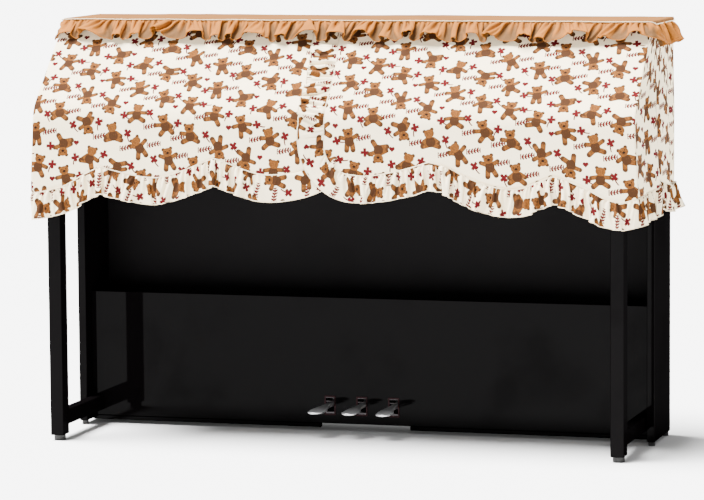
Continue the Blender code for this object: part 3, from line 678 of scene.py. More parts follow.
u, v = marked(bench, "cloth_length"), marked(bench, "share_down")
phase, wide, stand = marked(bench, "phase"), marked(bench, "wide"), marked(bench, "stand")
lean = marked(bench, "lean")
tuck = bench.sum("SINE", phase * (4 * pi)) * given["Tuck"] * (wide * v)
crest = (bench.sum("COSINE", phase * (2 * pi)) * -0.5 + 0.5) ** 0.7
standing = crest * stand * v**1.3
wander = seeded_noise(bench, u / 0.05, v * 0.6, given["Seed"], 0.0) * v * given["Wander"]
at = marked(bench, "seam_at") + (wander + (tuck + standing * lean))
rail = bench.value("GeometryNodeObjectInfo", given["Rail"], out="Geometry")
rail = bench.value("GeometryNodeMeshToCurve", rail)
sampled = []
for direction in ("out", "fall"):
    settings = {"mode": "LENGTH", "data_type": "FLOAT_VECTOR", "use_all_curves": True}
    sampler = bench.add("GeometryNodeSampleCurve", **settings)
    bench.join(rail, sampler.inputs["Curves"])
    bench.join(marked(bench, direction, "FLOAT_VECTOR"), sampler.inputs["Value"])
    bench.join(at, sampler.inputs["Length"])
    sampled.append(bench.wires(sampler))
out, fall, seam = sampled[0]["Value"], sampled[1]["Value"], sampled[0]["Position"]
slanted = v * given["Depth"] * 0.5 + u
pleats = seeded_noise(bench, slanted / given["Pleat pitch"], v * 1.1, given["Seed"] + 20.0, 0.0)
swell = bench.between(v, 0.05, 0.38) * bench.between(v, 0.35, 1.1, 1.0, 0.45)
pleats = bench.sum("MAXIMUM", 1.0 - abs(pleats) * 2.2, -0.2) * (swell * given["Pleat height"])
fading = 2.718 ** (v * -4.0) * bench.between(v, 0.0, 0.06, 0.35, 1.0)
puckers = seeded_noise(bench, u / given["Pucker pitch"], 0.0, given["Seed"]) * fading
puckers = bench.sum("MAXIMUM", puckers, -0.5) * given["Pucker height"]
rough = seeded_noise(bench, u * 45.0, v * given["Depth"] * 28.0, given["Seed"])
rough = rough * given["Crumple"] * v
ripples = (pleats + (puckers + rough)) * marked(bench, "free")
off = marked(bench, "clear") * v + given["Clearance"] + (standing + ripples)
drop = v * given["Depth"] * marked(bench, "tall")
drop = bench.sum("SQRT", bench.sum("MAXIMUM", drop * drop - standing * standing, 0.0)) + given["Start"]
hung = bench.vector("ADD", seam, bench.vector("SCALE", out, off))
hung = bench.vector("ADD", hung, bench.vector("SCALE", fall, drop))
placed = bench.value("GeometryNodeSetPosition", given["Geometry"], None, hung)
whole = bench.value("GeometryNodeRealizeInstances", placed)
bench.give(Geometry=bench.value("GeometryNodeSetMaterial", whole, None, given["Cloth"]))


def worked(piece, tree_name, **values):
    """The plain mesh that a tree makes of an object, with values for the tree's named inputs."""
    modifier = piece.modifiers.new(tree_name, "NODES")
    modifier.node_group = bpy.data.node_groups[tree_name]
    keys = {s.name: s.identifier for s in modifier.node_group.interface.items_tree}
    for name, value in values.items():
        modifier[keys[name.replace("_", " ")]] = value
    bpy.context.view_layer.update()
    shown = piece.evaluated_get(bpy.context.evaluated_depsgraph_get())
    mesh = bpy.data.meshes.new_from_object(shown)
    name, before = piece.name, piece.data
    bpy.data.objects.remove(piece)
    bpy.data.meshes.remove(before)
    mesh.name = name
    return mesh


def gathered(name, rail, columns, rows, depth, crosswise=False, **values):
    """A strip gathered on a rail. columns holds one row of marks for each column of points. A
    strip cut crosswise has the cloth's length across it."""
    count = len(columns)
    downs = steps(rows)
    flat = np.array([[(c["cloth_length"], -v * depth, 0.0) for v in downs] for c in columns])
    mesh = cloth_mesh(name, flat, flat[:, :, (1, 0) if crosswise else (0, 1)])
    for key in columns[0]:
        store(mesh, key, np.repeat([c[key] for c in columns], rows + 1))
    store(mesh, "share_down", np.tile(downs, count))
    made = worked(in_scene(name, mesh), "gathers", Rail=rail, Depth=depth, **values)
    made.shade_smooth()
    bpy.data.objects.remove(rail)
    return made


def fold_marks(folds, per_fold, total, tuck, clear):
    """Marks for the columns of a strip that fills a seam's length with these folds."""
    scale = total / sum(row["wide"] for row in folds)
    columns = []
    start = cloth_length = 0.0
    last = None
    for i, row in enumerate(folds):
        wide = row["wide"] * scale
        count = max(8, round(per_fold * row["wide"] / 0.06))
        for phase in steps(count)[: None if i == len(folds) - 1 else -1]:
            crest = row["out"] * (0.5 - 0.5 * cos(2 * pi * phase)) ** 0.7
            side = start + wide * (phase + tuck * sin(4 * pi * phase)) + row["lean"] * crest
            if last:
                cloth_length += hypot(side - last[0], crest - last[1])
            last = (side, crest)
            seam_at = start + wide * phase
            marks = {"cloth_length": cloth_length, "seam_at": seam_at, "phase": phase, "wide": wide}
            marks |= {"stand": row["out"], "lean": row["lean"], "clear": clear(seam_at)}
            columns.append(marks | {"tall": 1.0, "free": 1.0})
        start += wide
    return columns


def drawn(a, b, length, share=1.0, push_only=False):
    """Moves two rows of points towards or away from each other, to the cloth's length between
    them or a share of the way there."""
    gap = b - a
    long = np.linalg.norm(gap, axis=2, keepdims=True) + 1e-9
    change = gap * (0.5 * share * (1 - length / long))
    if push_only:
        change *= long < length
    a += change
    b -= change


def drawn_across(points, step, length, share, push_only=False):
    """The same for all points and those a few columns and rows on from them."""
    columns, rows = step
    count, deep = points.shape[:2]
    a = points[: count - columns, max(0, -rows) : deep - max(0, rows)]
    b = points[columns:, max(0, rows) : deep - max(0, -rows)]
    drawn(a, b, length, share, push_only)


def far_on(wide, count):
    """The lengths of cloth over this many columns."""
    last = len(wide) - count + 1
    return sum(wide[i : last + i] for i in range(count))


def settled(mesh, columns, rows, depth, faces, clear, rounds=110, fine=7, weight=0.00001, keep=0.03):
    """A gathered strip when it has found its own folds: its threads have their cut lengths both
    ways, it bends but doesn't crease flat, its weight pulls it down, and it lies on the cover's
    faces. The row at the seam is held, and the standing folds keep their places."""
    count = len(columns)
    points = np.empty(len(mesh.vertices) * 3)
    mesh.vertices.foreach_get("co", points)
    points = points.reshape(count, rows + 1, 3)
    normals, offsets = np.array([f[0] for f in faces]), np.array([f[1] for f in faces])
    cut = np.diff([c["cloth_length"] for c in columns])[:, None, None]
    across = np.linalg.norm(np.diff(points, axis=0), axis=2, keepdims=True)
    down = depth / rows * np.array([c["tall"] for c in columns])[:, None, None]
    slack = clear * np.minimum(1.0, np.arange(rows + 1) / 2.0)[None]
    hung, before = points.copy(), points.copy()
    lower = np.arange(rows + 1)[None, :, None] / rows
    keeping = keep * lower**1.5
    for turn in range(rounds):
        grown = across + (cut - across) * eased(turn / (0.6 * rounds))
        moved = 0.88 * (points - before)
        before = points.copy()
        points += moved + np.array((0.0, 0.0, -weight)) + (hung - points) * keeping
        for _ in range(fine):
            for start in (0, 1):
                drawn(points[start:-1:2], points[start + 1 :: 2], grown[start::2])
                drawn(points[:, start:-1:2], points[:, start + 1 :: 2], down)
            wide = grown[:, :1]
            slope = np.sqrt(wide**2 + down[1:] ** 2)
            drawn_across(points, (1, 1), slope, 0.25)
            drawn_across(points, (1, -1), slope, 0.25)
            drawn_across(points, (2, 0), 0.93 * (wide[1:] + wide[:-1]), 0.35, True)
            drawn_across(points, (0, 2), 1.96 * down, 0.30, True)
            drawn_across(points, (4, 0), 0.80 * far_on(wide, 4), 0.06 + 0.20 * lower, True)
            drawn_across(points, (0, 4), 3.8 * down, 0.16, True)
            drawn_across(points, (8, 0), 0.62 * far_on(wide, 8), 0.02 + 0.16 * lower, True)
            away = points @ normals.T - offsets
            short = np.maximum(0.0, slack - away.max(2))
            points += normals[away.argmax(2)] * short[:, :, None]
            points[:, 0] = hung[:, 0]
    mesh.vertices.foreach_set("co", points.ravel())
    mesh.update()
    # How deep each point lies below its neighbours' level, stored as the share of painted fold shade.
    stand = (points @ normals.T - offsets).max(2)
    window = np.ones(61) / 61
    level = np.stack([np.convolve(np.pad(row, 30, "edge"), window, "valid") for row in stand.T], 1)
    store(mesh, "hollow", np.clip((level - stand) / 0.007, 0.0, 1.0))
    return points


CORD_SIDES = 6


def cord(name, points, finish, radius):
    """A rolled hem or a raised seam: a thin roll of cloth along a line."""
    points = np.asarray(points, float)
    along = np.gradient(points, axis=0)
    along /= np.linalg.norm(along, axis=1, keepdims=True)
    for _ in range(2):
        along[1:-1] = along[:-2] + along[1:-1] + along[2:]
        along /= np.linalg.norm(along, axis=1, keepdims=True)
    side = np.cross(along, (0.0, -0.6, 0.8))
    side /= np.linalg.norm(side, axis=1, keepdims=True)
    other = np.cross(along, side)
    length = np.cumsum(np.linalg.norm(np.diff(points, axis=0, prepend=points[:1]), axis=1))
    thick = [radius * (1 + 0.22 * noise.noise(Vector((at / 0.006, 0.0, radius * 1000)))) for at in length]
    turns = np.linspace(0, 2 * pi, CORD_SIDES + 1)[:-1]
    rings = np.array([
        centre + size * (np.cos(turns)[:, None] * a - np.sin(turns)[:, None] * b)
        for centre, size, a, b in zip(points, thick, side, other)
    ])
    faces = []
    end = CORD_SIDES * (len(points) - 1)
    for ring in range(0, end, CORD_SIDES):
        for k in range(CORD_SIDES):
            a, b = ring + k, ring + (k + 1) % CORD_SIDES
            faces.append((a, b, b + CORD_SIDES, a + CORD_SIDES))
    faces += [list(range(CORD_SIDES))[::-1], list(range(end, end + CORD_SIDES))]
    mesh = plain_mesh(name, rings.reshape(-1, 3).tolist(), faces)
    round_it = np.tile(np.arange(CORD_SIDES) * radius, len(points))
    lay_flat(mesh, np.stack([np.repeat(length, CORD_SIDES), round_it], 1))
    mesh.materials.append(finish)
    piece = in_scene(name, mesh)
    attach(piece, "piano")
    return piece


def faces_at(*planes):
    """The flat faces of the cover: for each, a point on it and the direction it looks."""
    return [(tuple(out), Vector(out).dot(Vector(point))) for point, out in planes]


CREAM = cotton("cream_edging", (0.62, 0.50, 0.32), (0.88, 0.76, 0.54))
EDGING_TALL, EDGING_CLOTH = 0.0030, 0.0010

around = steps(700, TOP_ROUND, 0.0)
outward = [Vector((out.x, out.y, 0)).normalized() for _, out, _ in map(round_top, around)]
seam_points = [point + 0.0024 * out for point, out, _ in map(round_top, around)]
raised = [(out + Vector((0, 0, 1))).normalized() for out in outward]
edging_rail = seam_rail("edging_rail", seam_points, outward, raised)
edging_folds = [{"wide": 0.06, "out": 0.0004, "lean": 0.0}] * 32
columns = fold_marks(edging_folds, 40, TOP_ROUND, 0.0, lambda at: 0.0003)
for i, marks in enumerate(columns):
    marks["tall"] = 0.75 + 0.45 * noise.noise(Vector((i / 5.0, 0.0, 4.0)))
mesh = gathered(
    "cover_top_edging",
    edging_rail,
    columns,
    4,
    EDGING_TALL,
    Start=0.0004,
    Clearance=-0.0004,
    Tuck=0.0,
    Wander=0.0,
    Pucker_pitch=0.006,
    Pucker_height=0.0012,
    Pleat_height=0.0,
    Crumple=0.0008,
    Seed=4.0,
    Cloth=CREAM,
)
edging = sewn_piece(mesh, CREAM, "top_edging", EDGING_CLOTH)

# The folds in order: left side from the back, then the front, then the right side. "wide" is the
# length of seam that a fold takes, "out" its height at the free edge, and "lean" how far it
# falls over to the right, as a share of its height.
TOP_FOLDS = [
    {"wide": 0.082, "out": 0.025, "lean": 0.3},
    {"wide": 0.070, "out": 0.01875, "lean": -0.4},
    {"wide": 0.084, "out": 0.03125, "lean": 0.2},
    {"wide": 0.063, "out": 0.0175, "lean": 0.1},
    {"wide": 0.077, "out": 0.02875, "lean": -0.3},
    {"wide": 0.045, "out": 0.0175, "lean": 0.2},
    {"wide": 0.051, "out": 0.020, "lean": 0.3},
    {"wide": 0.083, "out": 0.03125, "lean": -0.2},
    {"wide": 0.063, "out": 0.02875, "lean": 0.5},
    {"wide": 0.048, "out": 0.015, "lean": -0.5},
    {"wide": 0.035, "out": 0.0175, "lean": 0.2},
    {"wide": 0.087, "out": 0.025, "lean": -0.3},
    {"wide": 0.054, "out": 0.01875, "lean": 0.5},
    {"wide": 0.064, "out": 0.0325, "lean": 0.3},
    {"wide": 0.079, "out": 0.0275, "lean": 0.5},
    {"wide": 0.063, "out": 0.0325, "lean": -0.4},
    {"wide": 0.039, "out": 0.015, "lean": 0.2},
    {"wide": 0.056, "out": 0.030, "lean": 0.3},
    {"wide": 0.072, "out": 0.0275, "lean": -0.3},
    {"wide": 0.032, "out": 0.0125, "lean": 0.3},
    {"wide": 0.053, "out": 0.02625, "lean": 0.4},
    {"wide": 0.065, "out": 0.025, "lean": -0.3},
    {"wide": 0.066, "out": 0.0225, "lean": 0.4},
    {"wide": 0.036, "out": 0.01625, "lean": -0.2},
    {"wide": 0.106, "out": 0.0325, "lean": 0.3},
    {"wide": 0.060, "out": 0.01625, "lean": -0.4},
    {"wide": 0.050, "out": 0.02625, "lean": 0.2},
    {"wide": 0.062, "out": 0.030, "lean": 0.4},
    {"wide": 0.040, "out": 0.02625, "lean": -0.3},
    {"wide": 0.052, "out": 0.0325, "lean": 0.5},
    {"wide": 0.038, "out": 0.02125, "lean": -0.4},
    {"wide": 0.044, "out": 0.030, "lean": 0.3},
]
TOP_FRILL, TOP_TUCK, TOP_FULL, FRILL_ROWS = 0.065, 0.08, 1.6, 18


def top_clearance(length):
    """How far the frill's free edge clears the cover: more at the corners, where it turns."""
    _, out, _ = round_top(length)
    return mix(0.0008, 0.0036, abs(out.x)) + 0.006 * eased(1.2 - abs(past_corner(length)) / FAN)


around = steps(1400, 0.0, TOP_ROUND)
frill_rail = seam_rail("top_frill_rail", *zip(*map(round_top, around)))
columns = fold_marks(TOP_FOLDS, 36, TOP_ROUND, TOP_TUCK, top_clearance)
fuller = TOP_FULL * TOP_ROUND / columns[-1]["cloth_length"]
for marks in columns:
    marks["cloth_length"] *= fuller
    marks["tall"] = mix(0.78, 1.0, eased(past_corner(marks["seam_at"]) / 0.20 + 0.3))
mesh = gathered(
    "cover_top_frill",
    frill_rail,
    columns,
    FRILL_ROWS,
    TOP_FRILL,
    Tuck=TOP_TUCK,
    Wander=0.024,
    Pucker_pitch=0.007,
    Pucker_height=0.0024,
    Pleat_pitch=0.026,
    Pleat_height=0.0080,
    Crumple=0.0040,
    Seed=2.0,
    Cloth=TAN,
)
top_faces = faces_at(
    ((0, *SLOPE_TOP), OFF_SLOPE),
    ((-HALF_TOP, 0, COVER_TOP), (-1, 0, 0.019)),
    ((HALF_TOP, 0, COVER_TOP), (1, 0, 0.019)),
)
# The hem frill's upper end lies under this frill at the lap, and lifts it there.
UNDER_AT, UNDER_HALF, UNDER_LIFT = -0.054, 0.044, 0.0030
off_middle = np.array([marks["seam_at"] - TOP_ROUND / 2 for marks in columns])
over_lap = np.clip(1.7 - abs(off_middle - UNDER_AT) / UNDER_HALF, 0.0, 1.0)
lifted = (0.0020 + UNDER_LIFT * over_lap)[:, None]
hung = settled(mesh, columns, FRILL_ROWS, TOP_FRILL, top_faces, lifted, keep=0.018)
hem = cord("cover_top_frill_hem", hung[:, -1], TAN, 0.0010)
top_frill = sewn_piece(mesh, TAN, "top_frill", FRILL_CLOTH)
size = (columns[-1]["cloth_length"], TOP_FRILL)

# ---------------------------------------------------------------- front halves
# Two halves of printed cotton fall from the top's front edge, bend over the closed key lid and
# hang in front of it. The right half laps over the left, and its lower corner is rounded.

FOLD_SOFT = 0.030  # length of cloth that bends on each side of the fold over the lid
HALF_FOLD, HALF_HEM, HALF_BACK = 0.7275, 0.735, 0.7275
CORNER = 0.012  # radius of the hem frill round the front corners
FULL_WIDTH_Z = 0.60  # the height at which the front has its full width
TOP_SEAM = 0.0018  # from the top's edge to the front halves' cut edge
LAP_TOP, LAP_EDGE = -0.022, -0.006
LAP_SINK = 0.0030  # how far the left half lies back under the lap
LAP_ROUND = 0.066  # radius of the right half's lower corner
LAP_STEPS = 4  # columns in that corner
COLUMN_WIDE = 0.005  # each column after them

# The seam between the panels and the hem frill: (length round the cover from the middle of the
# front, height). The front ends at 0.735 and a side at 1.176. A third value marks the point
# where two scallops meet.
SEAM = [
    (-1.176, 0.618), (-1.120, 0.613), (-1.060, 0.613), (-1.000, 0.623), (-0.950, 0.637, 1),
    (-0.900, 0.621), (-0.850, 0.609), (-0.790, 0.600), (-0.735, 0.596), (-0.692, 0.603),
    (-0.650, 0.615), (-0.604, 0.641), (-0.562, 0.662, 1), (-0.526, 0.653), (-0.488, 0.645),
    (-0.450, 0.639), (-0.410, 0.639), (-0.362, 0.653), (-0.318, 0.670), (-0.278, 0.686, 1),
    (-0.236, 0.672), (-0.198, 0.659), (-0.160, 0.650), (-0.112, 0.651), (-0.063, 0.660),
    (-0.020, 0.677), (0.030, 0.695),
]
RIGHT_SEAM = [
    (0.060, 0.6525), (0.090, 0.650), (0.142, 0.657), (0.194, 0.669), (0.245, 0.685, 1),
    (0.288, 0.674), (0.332, 0.653), (0.382, 0.634), (0.426, 0.626), (0.464, 0.628),
    (0.500, 0.642), (0.5365, 0.657, 1), (0.572, 0.647), (0.618, 0.628), (0.662, 0.606),
    (0.698, 0.600), (0.735, 0.609), (0.790, 0.612), (0.850, 0.615), (0.900, 0.624),
    (0.950, 0.637, 1), (1.000, 0.624), (1.060, 0.613), (1.120, 0.611), (1.176, 0.613),
]
# Rows of the front and the sides, as lengths below the fold over the lid. Those below the bend
# are stretched or squeezed to end on the seam.
ROWS_TOP, ROWS_END = TOP_SEAM - SLOPE, 0.130
FRONT_FLAT = HALF_HEM - CORNER
CORNER_ARC = CORNER * pi / 2


def half_width(z):
    """Half of the front's width at this height."""
    if z > FOLD_Z:
        return mix(HALF_FOLD, HALF_TOP, (z - FOLD_Z) / SLOPE_FALL)
    return mix(HALF_FOLD, HALF_HEM, eased((FOLD_Z - z) / (FOLD_Z - FULL_WIDTH_Z)))


def front_section(below):
    """(point, outward direction) on the front at X 0, at a length of cloth below the fold line."""
    fold = Vector((0, FOLD_Y, FOLD_Z))
    if below < -FOLD_SOFT:
        return fold + DOWN_SLOPE * below, OFF_SLOPE
    if below > FOLD_SOFT:
        return fold + DOWN * below, FRONT
    t = (below + FOLD_SOFT) / (2 * FOLD_SOFT)
    start, end = fold - DOWN_SLOPE * FOLD_SOFT, fold + DOWN * FOLD_SOFT
    return start.lerp(fold, t).lerp(fold.lerp(end, t), t), OFF_SLOPE.lerp(FRONT, t).normalized()


def on_front(along, below, out):
    """A point that stands out from the front's face."""
    point, outward = front_section(below)
    point = point + outward * out
    point.x = along * half_width(point.z) / HALF_HEM
    return point


def seam_height(along):
    """Height of the hem frill's seam: smooth scallops that meet in points."""
    rows = SEAM if along <= SEAM[-1][0] else RIGHT_SEAM
    last = len(rows) - 1
    i = 0
    while i < last - 1 and along > rows[i + 1][0]:
        i += 1
    (a, low), (b, high) = rows[i][:2], rows[i + 1][:2]
    t = (along - a) / (b - a)

    def slant(k, step):
        """The seam's slope at a row: its neighbours' on both sides, or one side's at a point."""
        first, second = max(0, k - 1), min(last, k + 1)
        if len(rows[k]) > 2:
            first, second = (k, k + 1) if step > 0 else (k - 1, k)
        return (rows[second][1] - rows[first][1]) / (rows[second][0] - rows[first][0])

    rise, turn = high - low, b - a
    start, end = slant(i, 1) * turn, slant(i + 1, -1) * turn
    return low + t * (start + t * (3 * rise - 2 * start - end + t * (start + end - 2 * rise)))


def row_below(row, end_z):
    """A row's length below the fold, in a column that ends at a height on the seam."""
    if row <= FOLD_SOFT:
        return row
    return mix(FOLD_SOFT, FOLD_Z - end_z - GAP, (row - FOLD_SOFT) / (ROWS_END - FOLD_SOFT))


def lap_corner(share):
    """(along, z) on the right half's rounded lower corner."""
    angle = share * pi / 2
    return (
        LAP_EDGE + LAP_ROUND * (1 - cos(angle)),
        RIGHT_SEAM[0][1] + LAP_ROUND * (1 - sin(angle)),
    )


def lap_edge(below):
    """Where the right half's edge runs, down the slope and the front."""
    return mix(LAP_TOP, LAP_EDGE, eased((SLOPE + below) / 0.20))


def lap_sink(along):
    """How far the left half lies back, from nothing beside the lap to the full depth under it."""
    return LAP_SINK * eased((along + 0.150) / 0.060)


def wrinkle(along, below):
    """Shallow waves of the hanging front, and the fine unevenness of washed cotton."""
    waves = sin(9.0 * along + 1.0) + 0.7 * sin(17.0 * along + 5.0 * below + 2.0)
    fine = 1.2 * unevenness((along, 0.5 * below), 0.045, 7.0) + 0.5 * unevenness((along, below), 0.014, 9.0)
    ends = eased((SLOPE - 0.020 + below) / 0.08) * eased((HALF_HEM - abs(along)) / 0.05)
    return 0.0008 * (waves + 0.5 * fine) * ends


def left_place(along, row):
    below = row_below(row, seam_height(along))
    return on_front(along, below, wrinkle(along, below) - lap_sink(along))


def right_column(column):
    """(along, seam height) of a column: the first ones end on the rounded corner."""
    if column <= LAP_STEPS:
        return lap_corner(column / LAP_STEPS)
    along = RIGHT_SEAM[0][0] + (column - LAP_STEPS) * COLUMN_WIDE
    return along, seam_height(along)


def right_flat(column, row):
    """(along, height) on the flat cloth of the right half."""
    along, z = right_column(column)
    below = row_below(row, z)
    return along + (lap_edge(below) - LAP_EDGE) * max(0.0, 1.0 - column), -below


def right_place(column, row):
    along, height = right_flat(column, row)
    return on_front(along, -height, wrinkle(along, -height))


# The print: teddy bears in many poses, red clovers, sprigs and hearts, in staggered rows. A limb is
# a rounded bar from its root, with a paw at its end and a deeper colour along its edge.
bench, given = new_group(
    "limb",
    [
        ("Point", VECTOR, None),
        ("Root", VECTOR, None),
        ("Angle", FLOAT, 0.0),
        ("Long", FLOAT, 12.0),
        ("Thick", FLOAT, 3.5),
    ],
    [("Shape", FLOAT), ("Paw", FLOAT), ("Lit", FLOAT)],
)
inside = bench.vector("SUBTRACT", given["Point"], given["Root"])
x, y, _ = bench.split(bench.turned(inside, given["Angle"] * -1.0))
reach = bench.sum("MINIMUM", bench.sum("MAXIMUM", x, 0.0), given["Long"])
away = bench.vector("LENGTH", bench.point(x - reach, y))
edge = given["Thick"] - away
bench.give(
    Shape=bench.between(edge, -0.35, 0.35),
    Paw=bench.between(x - (given["Long"] - 1.5), -1.5, 2.5),
    Lit=bench.between(edge, 0.6, 2.6),
)

bench, given = new_group(
    "spot",
    [
        ("Point", VECTOR, None),
        ("Centre", VECTOR, None),
        ("Half", VECTOR, (1.0, 1.0, 1.0)),
        ("Soft", FLOAT, 0.06),
    ],
    [("Shape", FLOAT)],
)
scaled = bench.vector("DIVIDE", bench.vector("SUBTRACT", given["Point"], given["Centre"]), given["Half"])
inside = 1.0 - bench.vector("LENGTH", scaled)
bench.give(Shape=bench.between(inside, given["Soft"] * -1.0, given["Soft"]))


def spot(bench, point, centre, half, soft=0.06):
    """1 inside a rounded shape about a centre and 0 outside it, with a soft edge."""
    return bench.group("spot", Point=point, Centre=centre, Half=half, Soft=soft)["Shape"]


CARAMEL, CARAMEL_DEEP = (0.165, 0.0575, 0.0120, 1.0), (0.094, 0.034, 0.0090, 1.0)
VEST, PAW, INK = (0.040, 0.0165, 0.0070, 1.0), (0.048, 0.019, 0.0075, 1.0), (0.012, 0.006, 0.0040, 1.0)
RED = (0.070, 0.0042, 0.0058, 1.0)


def random_three(bench, cell, shift):
    """Three values from 0 to 1 that belong to a cell."""
    place = bench.vector("ADD", cell, (shift, 3.7 * shift, 0.0))
    return bench.split(bench.value("ShaderNodeTexWhiteNoise", place, out="Color", noise_dimensions="2D"))


# One bear, drawn about its middle in millimetres, posed by the cell that it stands in.
bench, given = new_group(
    "teddy bear",
    [("Point", VECTOR, None), ("Cell", VECTOR, None), ("Ground", COLOUR, None)],
    [("Colour", COLOUR)],
)
flip, tilt, arm_a = random_three(bench, given["Cell"], 0.5)
arm_b, leg_a, leg_b = random_three(bench, given["Cell"], 1.5)
view, nod, _ = random_three(bench, given["Cell"], 2.5)
angle = bench.sum("GREATER_THAN", flip, 0.66) * pi + (tilt * 0.9 - 0.45)
point = bench.turned(given["Point"], angle)
washy = bench.noise(bench.vector("SCALE", point, 0.22), 1.0, 3.0, 0.6)
fur = bench.blend(bench.between(washy, 0.38, 0.60), CARAMEL, CARAMEL_DEEP)
colour = given["Ground"]
LIMBS = [
    {"Root": (6.0, -11.0, 0), "Thick": 6.4, "Angle": leg_a * 1.4 - 1.55},
    {"Root": (-6.0, -11.0, 0), "Thick": 6.4, "Angle": leg_b * -1.4 + (pi + 1.55)},
    {"Root": (7.5, 2.0, 0), "Thick": 5.3, "Angle": arm_a * 1.7 - 1.05},
    {"Root": (-7.5, 2.0, 0), "Thick": 5.3, "Angle": arm_b * -1.7 + (pi + 1.05)},
]
for row in LIMBS:
    limb = bench.group("limb", Point=point, Long=14.0, **row)
    shaded = bench.blend(limb["Lit"], CARAMEL_DEEP, fur)
    colour = bench.blend(limb["Shape"], colour, bench.blend(limb["Paw"], shaded, PAW))
front_view = bench.sum("LESS_THAN", view, 0.78)
vest = bench.blend(bench.between(washy, 0.52, 0.85), VEST, CARAMEL_DEEP)
head = bench.turned(point, nod * 0.7 - 0.35, (0.0, 7.0, 0.0))
PARTS = [
    {"centre": (0, -4.5, 0), "half": (11.4, 12.5, 1), "finish": vest, "on": point},
    {"centre": (9.4, 22.6, 0), "half": (4.6, 4.4, 1), "finish": PAW, "on": head},
    {"centre": (-9.4, 22.6, 0), "half": (4.6, 4.4, 1), "finish": PAW, "on": head},
    {"centre": (0, 15.0, 0), "half": (12.4, 10.4, 1), "finish": fur, "on": head},
    {"centre": (0, 11.6, 0), "half": (5.6, 4.6, 1), "finish": CARAMEL_DEEP, "on": head, "face": 1},
    {"centre": (0, 13.2, 0), "half": (3.4, 2.6, 1), "finish": INK, "on": head, "face": 1},
    {"centre": (5.0, 17.6, 0), "half": (1.3, 1.3, 1), "finish": INK, "on": head, "face": 1},
    {"centre": (-5.0, 17.6, 0), "half": (1.3, 1.3, 1), "finish": INK, "on": head, "face": 1},
]
for row in PARTS:
    shape = spot(bench, row["on"], row["centre"], row["half"])
    if "face" in row:
        shape = shape * front_view
    colour = bench.blend(shape, colour, row["finish"])
bench.give(Colour=colour)

# A clover with four leaves and a bent stem, and a sprig or a heart below it.
bench, given = new_group(
    "clover and sprig", [("Point", VECTOR, None), ("Cell", VECTOR, None)], [("Shape", FLOAT)]
)
turn, swap, kind = random_three(bench, given["Cell"], 4.5)
shift_x, _, _ = random_three(bench, given["Cell"], 5.5)
up = bench.sum("GREATER_THAN", swap, 0.5) * 2.0 - 1.0
x, y, _ = bench.split(given["Point"])
place = bench.point(shift_x * 6.0 + (x - 3.0), up * -17.0 + y)
x2, y2, _ = bench.split(bench.turned(place, turn * 2.6 - 1.3))
folded = bench.point(abs(x2), abs(y2))
petal = bench.turned(folded, -pi / 4)
notch = spot(bench, petal, (12.0, 0, 0), (2.2, 1.4, 1), 0.15)
leaf = spot(bench, petal, (6.4, 0, 0), (5.4, 3.9, 1)) * (1.0 - notch)
leaf = bench.sum("MAXIMUM", leaf, spot(bench, folded, (0, 0, 0), (3.0, 3.0, 1), 0.1))
stem = bench.between(abs(x2 - y2 * y2 * 0.018), 2.1, 1.5)
stem = stem * bench.between(y2, -20.5, -20.0) * bench.sum("LESS_THAN", y2, 0.0)
clover = bench.sum("MAXIMUM", leaf, stem)
low_y = up * 17.5 + y
line = abs(low_y - bench.sum("SINE", x * 0.13) * 2.2)
twig = bench.between(line, 1.5, 1.0)
pairs = bench.sum("FRACT", x * 0.145) - 0.5
pair = bench.turned(bench.point(pairs / 0.145, line - 3.3), radians(-48))
leaves = spot(bench, pair, (0, 0, 0), (4.0, 2.2, 1), 0.2)
sprig = bench.sum("MAXIMUM", twig, leaves) * bench.between(abs(x), 17.6, 17.0)
heart_x = abs(x)
lobe = spot(bench, bench.point(heart_x, low_y), (3.2, 2.0, 0), (3.8, 3.8, 1), 0.1)
tip = bench.between(heart_x * 0.95 + low_y * -1.0, 7.0, 6.5) * bench.sum("LESS_THAN", low_y, 0.8)
heart = bench.sum("MAXIMUM", lobe, tip)
is_heart = bench.sum("GREATER_THAN", kind, 0.8)
small = bench.value("ShaderNodeMix", is_heart, sprig, heart, out="Result", data_type="FLOAT")
bench.give(Shape=bench.sum("MAXIMUM", clover, small))

BEAR_CELL = (0.073, 0.069)
ROW_SLANT = radians(21)
bench, given = new_group(
    "bear print", [("Vector", VECTOR, None), ("Ground", COLOUR, None)], [("Colour", COLOUR)]
)


def staggered(bench, vector, shift):
    """(millimetres from the middle of the cell, the cell) in slanted, staggered rows that repeat."""
    x, y, _ = bench.split(bench.turned(vector, ROW_SLANT))
    tall = y / BEAR_CELL[1]
    row = bench.sum("FLOOR", tall)
    wide = x / BEAR_CELL[0] + (bench.sum("FLOORED_MODULO", row, 2.0) * 0.5 + shift)
    column = bench.sum("FLOOR", wide)
    inner_x = (bench.sum("FRACT", wide) - 0.5) * (BEAR_CELL[0] * 1000)
    inner_y = (bench.sum("FRACT", tall) - 0.5) * (BEAR_CELL[1] * 1000)
    place = bench.point(inner_x, inner_y)
    cell = bench.point(bench.sum("FLOORED_MODULO", column, 5.0), bench.sum("FLOORED_MODULO", row, 4.0))
    return bench.turned(place, -ROW_SLANT), cell


place, cell = staggered(bench, given["Vector"], 0.5)
clovers = bench.group("clover and sprig", Point=place, Cell=cell)["Shape"]
colour = bench.blend(clovers, given["Ground"], RED)
place, cell = staggered(bench, given["Vector"], 0.0)
stray = bench.point(*random_three(bench, cell, 7.5))
stray = bench.vector("MULTIPLY_ADD", stray, (7.0, 9.0, 0.0), (-3.5, -4.5, 0.0))
place = bench.vector("ADD", place, stray)
colour = bench.group("teddy bear", Point=place, Cell=cell, Ground=colour)["Colour"]
bench.give(Colour=colour)


